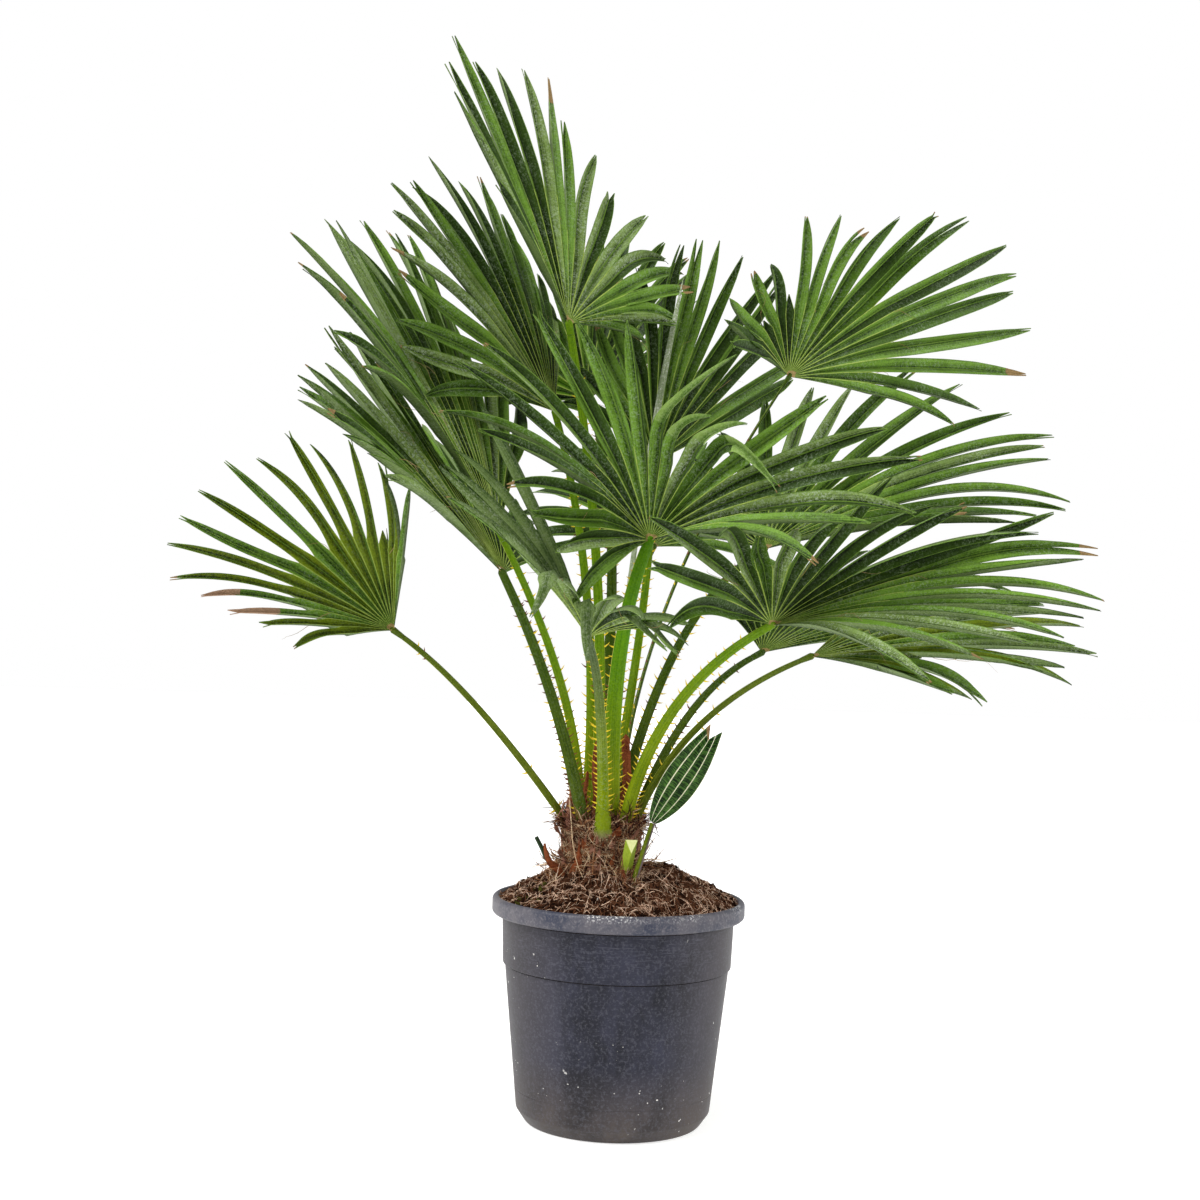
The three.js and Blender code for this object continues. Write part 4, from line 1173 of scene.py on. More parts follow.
def leaf_look(name, dark, light, bloom=None, bloom_share=0, roughness=0.45, folded=False, foot=None,
              fade=FOOT_FADE):
    """Leaf skin: veins along the leaflet, mottling, grain and a bloom of pale specks; painted shade makes it
    darker in the fold.
    """
    nodes = Nodes(name)
    veins = nodes.noise(nodes.place((620, 6, 1), lay=True), detail=3, roughness=0.6)
    mottle = nodes.noise(nodes.place(), scale=26, detail=4, roughness=0.6)
    grain = nodes.noise(nodes.place(), scale=430, detail=2, roughness=0.8)
    share = nodes.blend(nodes.span(veins, 0.42, 0.58, 0, 0.34), nodes.span(mottle, 0.4, 0.6, 0, 0.2), "ADD")
    share = nodes.blend(share, nodes.span(grain, 0.44, 0.58, 0, 0.28), "ADD")
    shade = PLAIN_SHADE
    # Painted shade: darker at the rib, in the fold, and lighter out towards the edge
    if folded:
        shade = nodes.span(nodes.parts(lay=True)["X"], 0, FOLD_SHADE_WIDTH * MM, *FOLD_SHADES)
    share = nodes.blend(share, shade, "ADD")
    colour = nodes.mix(share, linear(dark), linear(light))
    if foot:
        risen = nodes.span(nodes.parts()["Z"], *metres(fade))
        colour = nodes.mix(risen, nodes.mix(share, linear(foot[0]), linear(foot[1])), colour)
    if bloom:
        specks = nodes.noise(nodes.place(), scale=330, detail=3, roughness=0.85)
        patches = nodes.noise(nodes.place(), scale=15, detail=3)
        cover = nodes.blend(nodes.span(specks, 0.5, 0.6), nodes.span(patches, 0.36, 0.6, 0.15, 1))
        colour = nodes.mix(nodes.blend(cover, bloom_share), colour, linear(bloom))
    nodes.bump(veins, 0.3, 0.8)
    return nodes.finish(colour, roughness, LEAF_SHINE)


LOOKS = {}


def make_looks():
    """Colours are sRGB values from 0 to 255."""
    grey = (150, 166, 138)
    foot = ((78, 102, 0), (132, 148, 14))

    def add(name, title, dark, light, bloom=None, bloom_share=0, roughness=0.45, **more):
        LOOKS[name] = leaf_look(title, dark, light, bloom, bloom_share, roughness, **more)

    # The dark look is painted shade: the darker copy of the mid, dusty and deep looks that half blades in
    # shade take
    add("dark", "dark green leaf", (2, 10, 0), (46, 68, 16), grey, 0.25, 0.42, folded=True)
    add("deep", "deep green leaf", (4, 18, 0), (68, 98, 22), grey, 0.3, 0.42, folded=True)
    add("mid", "mid green leaf", (6, 28, 0), (104, 140, 48), grey, 0.35, 0.42, folded=True)
    add("dusty", "dusty green leaf", (8, 26, 2), (120, 144, 76), (172, 184, 160), 0.6, 0.45, folded=True)
    add("fresh", "fresh green leaf", (36, 78, 4), (112, 146, 44), None, 0, 0.38, folded=True)
    add("olive", "olive green leaf", (16, 32, 0), (108, 126, 24), grey, 0.15, 0.42, folded=True)
    add("under", "leaf underside", (40, 60, 20), (104, 124, 70), (166, 176, 150), 0.3, 0.6, folded=True)
    add("curled", "curled leaf", (54, 84, 24), (124, 150, 76), (176, 188, 146), 0.25, 0.5, folded=True)
    add("ridge", "yellow ridge", (104, 130, 44), (164, 180, 92))
    add("rib", "pale rib", (56, 86, 22), (114, 142, 62))
    add("heart", "tan heart", (124, 106, 60), (170, 148, 102))
    add("tip", "brown tip", (96, 78, 46), (146, 122, 84), roughness=0.7)
    add("dry", "dry leaf", (116, 88, 66), (172, 142, 118), roughness=0.75)
    add("thread", "dry thread", (116, 94, 60), (166, 144, 100), roughness=0.75)
    add("stalk", "green stalk", (58, 92, 0), (106, 138, 20), grey, 0.05, 0.38, foot=foot)
    add("bright_stalk", "bright stalk", (44, 92, 0), (92, 138, 8), grey, 0.05, 0.38, foot=foot)
    add("dark_stalk", "dark stalk", (24, 46, 0), (68, 90, 16), grey, 0.12, 0.38,
        foot=((30, 48, 0), (78, 94, 16)))
    add("grey_stalk", "grey stalk", (40, 54, 26), (92, 108, 72), grey, 0.3, 0.45, foot=foot)
    add("pale_stalk", "pale stalk", (44, 60, 4), (88, 104, 30), grey, 0.05, 0.4,
        foot=((50, 66, 2), (106, 116, 26)))
    add("stalk_base", "stalk base", (74, 98, 0), (130, 146, 18), grey, 0.1, 0.5,
        foot=((84, 78, 52), (142, 130, 98)), fade=BASE_FADE)
    add("stalk_edge", "yellow stalk edge", (140, 152, 30), (190, 192, 84))
    add("dull_edge", "dull stalk edge", (80, 100, 36), (134, 146, 84))
    add("spine", "yellow spine", (190, 160, 10), (236, 208, 64))
    add("red_spine", "reddish spine", (78, 46, 24), (132, 84, 50))
    LOOKS["sheath"] = earth_look("red brown sheath", (66, 26, 12), (150, 84, 50), 0.7)
    LOOKS["papery"] = earth_look("papery sheath", (104, 64, 52), (164, 120, 98), 0.8)


# Finer leaflets: two thin half blades that meet at the rib, part at the fork and end in points


def width_share(share):
    """Width along the free part, as a share of the whole, before the fork narrows it."""
    return float(np.interp(share, LEAFLET_SHARES, LEAFLET_WIDTHS))


Strip = namedtuple("Strip", "outer inner up")


def fold_of(width):
    return FINE_FOLD_SHARE * width / 2


def curled_line(fan, axes, pose, share, left):
    """The source's line with its fold rounded off and what is left of the folded part bowed."""
    if not pose.kink:
        return fan.line(axes, pose, share)
    low = pose.kink[0] - CURL_ROUND
    high = pose.kink[0] + CURL_ROUND
    share = min(share, pose.kink[0]) + left * max(0, share - pose.kink[0])
    if low < share < high:
        start, corner, end = (fan.line(axes, pose, place) for place in (low, pose.kink[0], high))
        t = (share - low) / (high - low)
        centre = bezier([start[0], corner[0], end[0]], t)
        aim = unit(start[1] * (1 - t) + end[1] * t)
        side = start[2] * (1 - t) + end[2] * t
        side = unit(side - aim * side.dot(aim))
        up = np.cross(side, aim)
    else:
        centre, aim, side, up = fan.line(axes, pose, share)
    past = max(0, (share - low) / (1 - low))
    return centre + up * (CURL_BOW * axes.reach * 4 * past * (1 - past)), aim, side, up


Form = namedtuple("Form", "fork spread twist sway droop left")


def form_of(fan, k, pose):
    """How a leaflet forks, twists, sways and droops, a little different for each."""
    fork, spread, twist, sway, droop = (scatter(fan.index + FORM_CHANCE + n, k) for n in range(5))
    deep = scatter(fan.index + FORK_CHANCE, k) < DEEP_FORK_SHARE
    fork = between(DEEP_FORK_RANGE if deep else FORK_RANGE, fork)
    spread = between(FORK_SPREAD, spread ** 2)
    sway = SWAY * (2 * sway - 1)
    if pose.kink:
        left, droop = CURLS.get((fan.name, k), PLAIN_CURL)
        return Form(fork, spread, CURLED_TWIST, sway, droop, left)
    return Form(fork, spread, TWIST * (2 * twist - 1), sway, DROOP * droop ** 2, 1)


def leaflet_strips(fan, k, pose, form):
    """Outer edge, inner edge and up of both half blades, from the hub to the tips."""
    axes = fan.leaf_axes[k]
    rows = []
    for i in range(FUSED_STEPS + 1):
        t = (i / FUSED_STEPS) ** FUSED_POWER
        row = []
        for part, sign in ((fan.seam_axes[k], 1), (axes, -1), (fan.seam_axes[k + 1], 1)):
            distance = HUB_START + (part.split - HUB_START) * t
            row.append(fan.point(part, distance) + part.up * (sign * t * fold_of(LEAFLET_WIDTH)))
        rows.append((row[0], row[1], row[1], row[2], axes.up))
    if pose.torn:
        rows.append(torn_row(fan, k, rows[-1]))
        return strips_from(rows)
    seams = rows[-1]
    fork = form.fork
    for i in range(1, FREE_STEPS + 1):
        share = fork * i / FREE_STEPS
        centre, side, up = twisted_line(fan, axes, pose, share, form)
        width = free_width(fan, pose, share)
        rib = centre - up * fold_of(width)
        left = centre - side * (width / 2) + up * fold_of(width)
        right = centre + side * (width / 2) + up * fold_of(width)
        ease = max(0, 1 - share / EDGE_EASE) ** 2
        left = left + start_gap(fan, axes, pose, seams[0], -1) * ease
        right = right + start_gap(fan, axes, pose, seams[3], 1) * ease
        rows.append((left, rib, rib, right, up))
    full = free_width(fan, pose, fork)
    for i in range(1, FORK_STEPS + 1):
        t = i / FORK_STEPS
        share = fork + (1 - fork) * t
        centre, side, up = twisted_line(fan, axes, pose, share, form)
        middle = full / 4 + (form.spread - full / 4) * t
        half = max(free_width(fan, pose, share) / 4, TIP_WIDTH / 2)
        rise = up * (fold_of(full) * (1 - t))
        row = [centre - side * (middle + half) + rise, centre - side * (middle - half) - rise]
        row += [centre + side * (middle - half) - rise, centre + side * (middle + half) + rise]
        rows.append((*row, up))
    return strips_from(rows)


def free_width(fan, pose, share):
    """Width of a leaflet's free part; what lies past a fold is narrower, as it is seen askew."""
    past = max(0, share - pose.kink[0]) if pose.kink else 0
    full = LEAFLET_WIDTH * WIDTH_SHARES.get(fan.name, 1)
    return full * width_share(share) * (1 - CURLED_NARROWING * min(1, past / CURL_ROUND))


def torn_row(fan, k, last):
    """Ragged end of a torn leaflet: each half runs on to a point of its own."""
    aim = fan.leaf_axes[k].aim
    points = []
    for number, (edge, rib) in enumerate(((last[0], last[1]), (last[3], last[2]))):
        middle = (edge + rib) / 2 + aim * between(TORN_REACH, scatter(k, fan.index + number))
        points.append((middle, middle + (rib - edge) * TORN_POINT_SHARE))
    return (points[0][0], points[0][1], points[1][1], points[1][0], last[4])


def twisted_line(fan, axes, pose, share, form):
    centre, _, side, up = curled_line(fan, axes, pose, share, form.left)
    centre = centre + side * (form.sway * math.sin(math.pi * share)) - vector([0, 0, form.droop * share ** 3])
    angle = form.twist * share * share
    turned = side * math.cos(angle) + up * math.sin(angle)
    return centre, turned, up * math.cos(angle) - side * math.sin(angle)


def start_gap(fan, axes, pose, seam, sign):
    """From a free part's own edge at the split to the seam that it grows out of."""
    centre, _, side, up = fan.line(axes, pose, 0)
    width = free_width(fan, pose, 0)
    return seam - (centre + side * (sign * width / 2) + up * fold_of(width))


def strips_from(rows):
    left, left_rib, right_rib, right, up = (np.array(column) for column in zip(*rows))
    return Strip(left, left_rib, up), Strip(right, right_rib, up)


def strip_lot(strip, looks, flipped):
    """Closed thin half blade: columns go over the upper face to the outer edge and back below."""
    span = np.linalg.norm(strip.outer - strip.inner, axis=1)[:, None]
    columns = []
    across = []
    rib_line, ridge_line = (np.clip(width / span, low, high) for width, low, high in (RIB_LINE, RIDGE_LINE))
    for share in (0 * span, rib_line, 1 - ridge_line, 0 * span + 1):
        curl = strip.up * span * (EDGE_CURL_SHARE * np.sin(math.pi * share))
        columns.append(strip.inner * (1 - share) + strip.outer * share + curl)
        across.append((span * share)[:, 0])
    for edge, share in ((strip.outer, 1), (strip.inner, 0)):
        columns.append(edge - strip.up * BLADE_THICKNESS)
        across.append(span[:, 0] * share)
    points = np.stack(columns, 1)
    steps = np.linalg.norm(np.diff(strip.inner, axis=0), axis=1)
    along = np.append(0, np.cumsum(steps))
    lay = np.stack([np.stack(across, 1), np.repeat(along[:, None], len(columns), 1)], -1)
    faces = grid_faces(len(points), len(columns), wrap=True)
    return lot(points, faces[:, ::-1] if flipped else faces, looks.ravel(), lay)


def strip_looks(rows, body, brown_rows, curled_row):
    """Look of each face, by row and column, of a half blade."""
    looks = np.full((rows - 1, BLADE_COLUMNS), NUMBERS[body])
    looks[curled_row:] = NUMBERS["curled"]
    looks[:, UNDER_COLUMN] = NUMBERS["under"]
    looks[:curled_row, RIB_COLUMN] = NUMBERS["rib"]
    looks[:curled_row, RIDGE_COLUMN] = NUMBERS["rib"]
    looks[:RIDGE_ROWS, RIDGE_COLUMN] = NUMBERS["ridge"]
    looks[:HEART_ROWS] = NUMBERS["heart"]
    if brown_rows:
        looks[-brown_rows:] = NUMBERS["tip"]
    return looks


# Loose strands: fibres, threads and spines


def strands(paths, radii, looks, sides=3):
    """Tubes along many paths (count, steps, 3) with a radius at each point."""
    paths = np.asarray(paths, float)
    count, steps, _ = paths.shape
    radii = np.broadcast_to(radii, (count, steps))[..., None, None]
    ways = np.gradient(paths, axis=1)
    ways /= np.linalg.norm(ways, axis=2, keepdims=True) + 1e-9
    first = np.cross(ways, STRAND_REFERENCE)
    first /= np.linalg.norm(first, axis=2, keepdims=True) + 1e-9
    second = np.cross(ways, first)
    angles = circle(sides)
    ring = first[:, :, None] * np.cos(angles)[:, None] + second[:, :, None] * np.sin(angles)[:, None]
    points = paths[:, :, None] + ring * radii
    one = grid_faces(steps, sides, wrap=True)
    faces = (one[None] + (np.arange(count) * steps * sides)[:, None, None]).reshape(-1, 4)
    looks = np.repeat(np.broadcast_to(looks, count), len(one))
    along = np.append(0, np.cumsum(np.linalg.norm(np.diff(paths[0], axis=0), axis=1)))
    lay = np.zeros((count, steps, sides, 2))
    lay[..., 0] = np.arange(count)[:, None, None] + np.arange(sides)
    lay[..., 1] = along[:, None]
    return lot(points, faces, looks, lay)


# Fronds


FROND_LOOKS = [
    "mid", "deep", "dark", "dusty", "fresh", "olive", "under", "curled", "ridge", "rib", "heart", "tip",
    "dry", "thread", "stalk", "bright_stalk", "dark_stalk", "grey_stalk", "pale_stalk",
]
NUMBERS = {look: number for number, look in enumerate(FROND_LOOKS)}


def leaflet_look(fan, k):
    """Look of one leaflet's upper face, dealt out by frond."""
    chosen = FROND_TINTS.get(fan.name, PLAIN_TINTS)
    return chosen[int(scatter(fan.index + LOOK_CHANCE, k + 3) * len(chosen))]


def stalk_tint(frond):
    return STALK_TINTS.get(frond["name"], PLAIN_STALK_TINT)


def blade_lots(fan):
    lots = []
    for k in range(fan.count):
        pose = fan.poses[k]
        form = form_of(fan, k, pose)
        body = leaflet_look(fan, k)
        browned = scatter(fan.index + BROWN_CHANCE, k) < BROWN_SHARE and not pose.torn
        brown = int(scatter(fan.index + BROWN_ROWS_CHANCE, k) * BROWN_ROWS) if browned else 0
        curled = NO_CURL
        if pose.kink:
            curled = FUSED_STEPS + 1 + round(pose.kink[0] / form.fork * FREE_STEPS)
        # Painted shade: one half blade of some leaflets takes a darker copy of the leaflet's look
        in_shade = scatter(fan.index + SHADE_CHANCE, k) < SHADED_SHARES.get(fan.name, SHADED_SHARE)
        shaded = SHADED_LOOKS.get(body, body) if in_shade else body
        for flipped, strip in zip((True, False), leaflet_strips(fan, k, pose, form)):
            looks = strip_looks(len(strip.up), body if flipped else shaded, brown, curled - int(flipped))
            if (fan.name, k) in DRY_ENDS:
                dry = FUSED_STEPS + int(FREE_STEPS * DRY_ENDS[fan.name, k]) + int(flipped)
                looks[dry:] = NUMBERS["dry"]
            lots.append(strip_lot(strip, looks, flipped))
    return lots


def neck_lot(fan):
    """Short neck from the end of the stalk into the hub, blunt at its end."""
    curve = stalk_curve(fan.frond)
    slope = unit(fan.hub - curve[2])
    start = curve[2] + slope * GAP
    finish = fan.hub + slope * HUB_OVERRUN
    width = fan.frond["width"] * STALK_TIP_SHARE
    line = [start, (start + finish) / 2, finish]
    depth = width * STALK_THICKNESS_SHARE
    wide = lambda t: between([width, HUB_WIDTH], t) * (1 if t < 1 else NECK_END_SHARE)
    deep = lambda t: between([depth, HUB_THICKNESS], t) * (1 if t < 1 else NECK_END_SHARE)
    points, faces = tube(line, stalk_wide(fan.frond), wide, deep, NECK_STEPS, NECK_SIDES, False)
    return lot(points, faces, NUMBERS[stalk_tint(fan.frond)])


def make_blade(fan):
    lots = blade_lots(fan) + thread_lot(fan) + [neck_lot(fan)]
    make_piece("fan_" + fan.name, lots, FROND_LOOKS, ["blade_" + fan.name], BLADE_SMOOTH_ANGLE)


STALK_LOOKS = [
    "stalk", "bright_stalk", "dark_stalk", "grey_stalk", "pale_stalk", "stalk_edge", "dull_edge", "spine",
    "red_spine", "sheath", "papery", "stalk_base",
]


def stalk_lot(frond, curve):
    """Smooth tapering stalk, flatter above, with a sharp yellow margin on both sides."""
    corners = len(STALK_ANGLES)
    wide = stalk_wide(frond)
    rows = []
    for i in range(STALK_ROWS + 1):
        t = i / STALK_ROWS
        centre, _, across, through = section_at(curve, wide, t)
        width = stalk_width(frond, t)
        row = []
        for angle in STALK_ANGLES:
            a = math.radians(angle)
            depth = math.sin(a) * width * STALK_THICKNESS_SHARE / 2
            depth *= STALK_UPPER_SHARE if depth > 0 else 1
            row.append(centre + across * (math.cos(a) * width / 2) + through * depth)
        rows.append(row)
    tint = stalk_tint(frond)
    looks = np.full((STALK_ROWS, corners), STALK_LOOKS.index(tint))
    looks[:, STALK_EDGE_COLUMNS] = STALK_LOOKS.index("dull_edge" if tint == "dark_stalk" else "stalk_edge")
    lay = np.zeros((STALK_ROWS + 1, corners, 2))
    lay[..., 0] = np.radians(STALK_ANGLES) * frond["width"] / 2
    lay[..., 1] = np.linspace(0, np.linalg.norm(curve[2] - curve[0]), STALK_ROWS + 1)[:, None]
    return lot(rows, grid_faces(STALK_ROWS + 1, corners, wrap=True), looks.ravel(), lay)


def base_lot(frond, look):
    """Flared foot of a stalk: a curved plate that widens down the front of the stem."""
    seat = seat_of(frond)
    way = unit(vector([seat[0] - STEM_X, seat[1] - STEM_Y, 0]))
    side = vector([-way[1], way[0], 0])
    start, knee, end = stalk_curve(frond)
    depth = stalk_width(frond, 0) * STALK_THICKNESS_SHARE / 2
    rows = []
    for level, width, proud in BASE_ROWS:
        t = max(0, level - start[2]) / (2 * (knee[2] - start[2]))
        stalk = bezier([start, knee, end], t)
        out = (stalk - vector([STEM_X, STEM_Y, 0])).dot(way) + depth
        out = max(out, float(stem_radius(level)) + proud)
        centre = vector([STEM_X, STEM_Y, 0]) + way * out + side * (stalk - seat).dot(side)
        centre[2] = level
        row = []
        for u in np.linspace(-1, 1, BASE_CORNERS):
            back = abs(u) ** BASE_ROUND_POWER * depth * BASE_ROUND_SHARE
            row.append(centre + side * (u * width / 2) - way * back)
        rows.append(row)
    return lot(rows, grid_faces(len(rows), BASE_CORNERS), look)


def spine_lot(frond, curve, index):
    """Curved spines along both margins, close together near the foot."""
    wide = stalk_wide(frond)
    length = curve_length(curve)
    red = RED_SPINES.get(stalk_tint(frond), RED_SPINE_SHARE)
    steps = np.linspace(0, 1, len(SPINE_TAPER))[:, None]
    paths, radii, looks = [], [], []
    for side in (-1, 1):
        distance = SPINE_START
        number = 0
        while distance < length * SPINE_END_SHARE:
            number += 1
            t = distance / length
            centre, tangent, across, _ = section_at(curve, wide, t)
            start = centre + across * (side * stalk_width(frond, t) / 2 * SPINE_DEPTH_SHARE)
            chance = scatter(index * 3 + side, number)
            near = max(0, 1 - distance / SPINE_DENSE)
            distance += between(SPINE_STEP, near ** 0.5) + SPINE_STEP_JITTER * chance
            if scatter(number, index + SPINE_GAP_CHANCE) > SPINE_SHARES.get(frond["name"], 1):
                continue
            size = between(SPINE_LENGTH, chance) * (1 - SPINE_SHRINKING * t)
            way = unit(across * side + tangent * between(SPINE_LEAN, scatter(number, index)))
            paths.append(start + way * size * steps + tangent * (SPINE_CURVE * size) * steps ** 2)
            radii.append(vector(SPINE_TAPER) * between(SPINE_RADIUS, chance))
            look = "red_spine" if scatter(number, index + RED_SPINE_CHANCE) < red else "spine"
            looks.append(STALK_LOOKS.index(look))
    return strands(paths, np.array(radii), np.array(looks), SPINE_SIDES)


def make_stalk(frond, index):
    curve = stalk_curve(frond)
    lots = [stalk_lot(frond, curve), spine_lot(frond, curve, index)]
    if frond["name"] == BARE_FOOT:
        lots.append(base_lot(frond, STALK_LOOKS.index("stalk_base")))
    if frond["name"] == "front_mid":
        lots += standing_sheath_lots(INNER_SHEATHS, STALK_LOOKS.index("sheath"))
    make_piece("stalk_" + frond["name"], lots, STALK_LOOKS, ["petiole_" + frond["name"]])


# Pot


def ring_lot(profile, sides, looks):
    """A turned shape round the pot's axis from [radius, height] rows."""
    profile = np.array(profile, float)
    points = np.zeros((len(profile), sides, 3))
    points[..., 0] = profile[:, 0, None] * np.cos(circle(sides))
    points[..., 1] = profile[:, 0, None] * np.sin(circle(sides))
    points[..., 2] = profile[:, 1, None]
    return lot(points, grid_faces(len(profile), sides, wrap=True), looks)


def rounded(profile, radius):
    """Replaces each inner corner of a profile by a short curve."""
    points = [vector(row) for row in profile]
    smooth = [points[0]]
    for before, corner, after in zip(points, points[1:], points[2:]):
        reach = [min(radius, np.linalg.norm(end - corner) * ROUND_SHARE_MAX) for end in (before, after)]
        start = corner + unit(before - corner) * reach[0]
        end = corner + unit(after - corner) * reach[1]
        for i in range(ROUND_STEPS + 1):
            smooth.append(bezier([start, corner, end], i / ROUND_STEPS))
    return smooth + [points[-1]]


def pot_inside(height):
    """Radius of the pot's inside at a height."""
    lip_foot = POT_HEIGHT - LIP_HEIGHT
    heights = [WALL_FOOT_HEIGHT, BAND_FOOT_HEIGHT - STEP_HEIGHT, BAND_FOOT_HEIGHT, lip_foot, POT_HEIGHT]
    radii = [WALL_FOOT_RADIUS, WALL_TOP_RADIUS, BAND_FOOT_RADIUS, NECK_RADIUS, MOUTH_RADIUS + POT_WALL]
    return float(np.interp(height, heights, radii)) - POT_WALL


def pot_look():
    """Slate plastic: lighter at the sides with dust and painted sheen, dusty at the foot, with fine grain,
    faint scratches and pale specks.
    """
    nodes = Nodes("slate pot")
    dust = nodes.noise(nodes.place((1, 1, 0.5)), scale=16, detail=7, roughness=0.7)
    colour = nodes.mix(nodes.span(dust, 0.4, 0.62), linear((9, 10, 22)), linear((42, 43, 57)))
    parts = nodes.parts()
    # Dust and painted sheen: the pot is painted lighter towards its left and right sides
    aside = nodes.span(nodes.blend(parts["X"], 0, "ABSOLUTE"), *metres(DUST_AND_SHEEN_SIDES))
    aside = nodes.blend(aside, nodes.span(dust, 0.3, 0.65, 0.3, 0.9))
    colour = nodes.mix(aside, colour, linear((70, 65, 64)))
    height = parts["Z"]
    low = nodes.span(height, 0, DUSTY_FOOT_HEIGHT * MM, 1, 0)
    colour = nodes.mix(nodes.blend(low, nodes.span(dust, 0.35, 0.6, 0.3, 1)), colour, linear((72, 64, 58)))
    scratches = nodes.noise(nodes.place((50, 50, 900)), detail=3, distortion=1)
    scuffed = nodes.span(height, *metres(SCUFFED_HEIGHTS), 0.3, 1)
    scuffed = nodes.blend(nodes.span(scratches, 0.56, 0.7, 0, 0.5), scuffed)
    colour = nodes.mix(scuffed, colour, linear((84, 84, 94)))
    grain = nodes.noise(nodes.place(), scale=300, detail=3, roughness=0.7)
    colour = nodes.mix(nodes.span(grain, 0.5, 0.62, 0, 0.34), colour, linear((80, 80, 89)))
    specks = nodes.noise(nodes.place(), scale=190, detail=1)
    row = nodes.span(height, *metres(SPECKED_TO), 1, 0)
    row = nodes.blend(nodes.span(height, *metres(SPECKED_FROM)), row)
    few = nodes.blend(nodes.noise(nodes.place(), scale=14, detail=2), nodes.blend(row, 0.1), "ADD")
    spots = nodes.blend(nodes.span(specks, 0.73, 0.76), nodes.span(few, 0.54, 0.6))
    colour = nodes.mix(spots, colour, linear((206, 204, 200)))
    nodes.bump(grain, 0.25, 0.5)
    nodes.shader.inputs["Coat Weight"].default_value = 0.12
    nodes.shader.inputs["Coat Roughness"].default_value = 0.35
    return nodes.finish(colour, nodes.span(dust, 0.35, 0.65, 0.42, 0.68), 0.16)


def lip_look():
    """The pot's lip: the same plastic, dusty, with small chalky chips along the top."""
    nodes = Nodes("scuffed lip")
    dust = nodes.noise(nodes.place(), scale=12, detail=6, roughness=0.7)
    colour = nodes.mix(nodes.span(dust, 0.38, 0.64), linear((42, 46, 62)), linear((96, 92, 96)))
    grain = nodes.noise(nodes.place(), scale=300, detail=3, roughness=0.7)
    colour = nodes.mix(nodes.span(grain, 0.5, 0.66, 0, 0.35), colour, linear((128, 124, 126)))
    high = nodes.span(nodes.parts()["Z"], *metres(CHIPPED_HEIGHTS))
    patches = nodes.blend(nodes.span(nodes.noise(nodes.place(), scale=16, detail=2), 0.55, 0.65), high)
    flecks = nodes.span(nodes.noise(nodes.place(), scale=360, detail=3, roughness=0.7), 0.54, 0.6)
    colour = nodes.mix(nodes.blend(patches, flecks), colour, linear((206, 204, 202)))
    nodes.bump(flecks, 0.15, 0.5)
    return nodes.finish(colour, 0.5, 0.3)


def make_pot():
    """The wall, the band and the lip, with painted shade in the groove below the band and the seam below the
    lip.
    """
    lip_foot = POT_HEIGHT - LIP_HEIGHT
    step = BAND_FOOT_HEIGHT - STEP_HEIGHT
    slope = (WALL_TOP_RADIUS - WALL_FOOT_RADIUS) / (step - WALL_FOOT_HEIGHT)
    ring = WALL_FOOT_RADIUS + slope * (RING_HEIGHT - WALL_FOOT_HEIGHT)
    wall_top, groove_top, band_foot = (BAND_FOOT_HEIGHT - drop for drop in GROOVE_DROPS)
    groove_radius = WALL_TOP_RADIUS - GROOVE_DEPTH
    seam_foot = lip_foot - SEAM_HEIGHT
    seam_radius = NECK_RADIUS - SEAM_DEPTH
    inside = pot_inside(lip_foot)
    wall = [
        [0, 0],
        [FOOT_RADIUS, 0],
        [FOOT_RADIUS + FOOT_HEIGHT, FOOT_HEIGHT],
        [WALL_FOOT_RADIUS, WALL_FOOT_HEIGHT],
        [ring - RING_LIP, RING_HEIGHT - RING_DEPTH],
        [ring - RING_DEPTH, RING_HEIGHT],
        [ring, RING_HEIGHT + RING_DEPTH],
        [WALL_TOP_RADIUS, step],
        [WALL_TOP_RADIUS, wall_top],
    ]
    groove = [wall[-1], [groove_radius, groove_top]]
    band = [
        groove[-1],
        [BAND_FOOT_RADIUS - BAND_CHAMFER, band_foot],
        [BAND_FOOT_RADIUS, BAND_FOOT_HEIGHT],
        [NECK_RADIUS, seam_foot],
    ]
    seam = [band[-1], [seam_radius, lip_foot]]
    rim = [
        seam[-1],
        [LIP_RADIUS - LIP_ROUND, lip_foot],
        [LIP_RADIUS, lip_foot + LIP_ROUND],
        [LIP_RADIUS, POT_HEIGHT - LIP_ROUND],
        [LIP_RADIUS - LIP_ROUND, POT_HEIGHT],
        [MOUTH_RADIUS, POT_HEIGHT],
        [inside, lip_foot],
        [inside - INSIDE_STEP, lip_foot - INSIDE_DROP],
    ]
    names = ["pot", "lip", "shade"]
    LOOKS["pot"] = pot_look()
    LOOKS["lip"] = lip_look()
    # Painted shade: a dark look in the groove below the band and in the seam below the lip
    LOOKS["shade"] = earth_look("painted shade in the grooves", (18, 17, 20), (46, 42, 42), 0.8)
    turned = [
        [rounded(wall, WALL_ROUND), "pot"],
        [groove, "shade"],
        [rounded(band, BAND_ROUND), "pot"],
        [seam, "shade"],
        [rounded(rim, RIM_ROUND), "lip"],
    ]
    lots = [ring_lot(profile, POT_SIDES, names.index(look)) for profile, look in turned]
    make_piece("nursery_pot", lots, names, ["pot"])


# Soil and fibre


def wobble(points, size, seed):
    """Smooth noise from about -1 to 1 that varies over a size in millimetres."""
    chance = np.random.default_rng(seed)
    total = np.zeros(points.shape[:-1])
    for _ in range(WOBBLE_WAVES):
        way = chance.normal(size=3)
        way *= (0.7 + 0.9 * chance.random()) * 2 * math.pi / (size * np.linalg.norm(way))
        total += np.sin(points @ way + chance.random() * 2 * math.pi)
    return total / WOBBLE_WAVES * 2


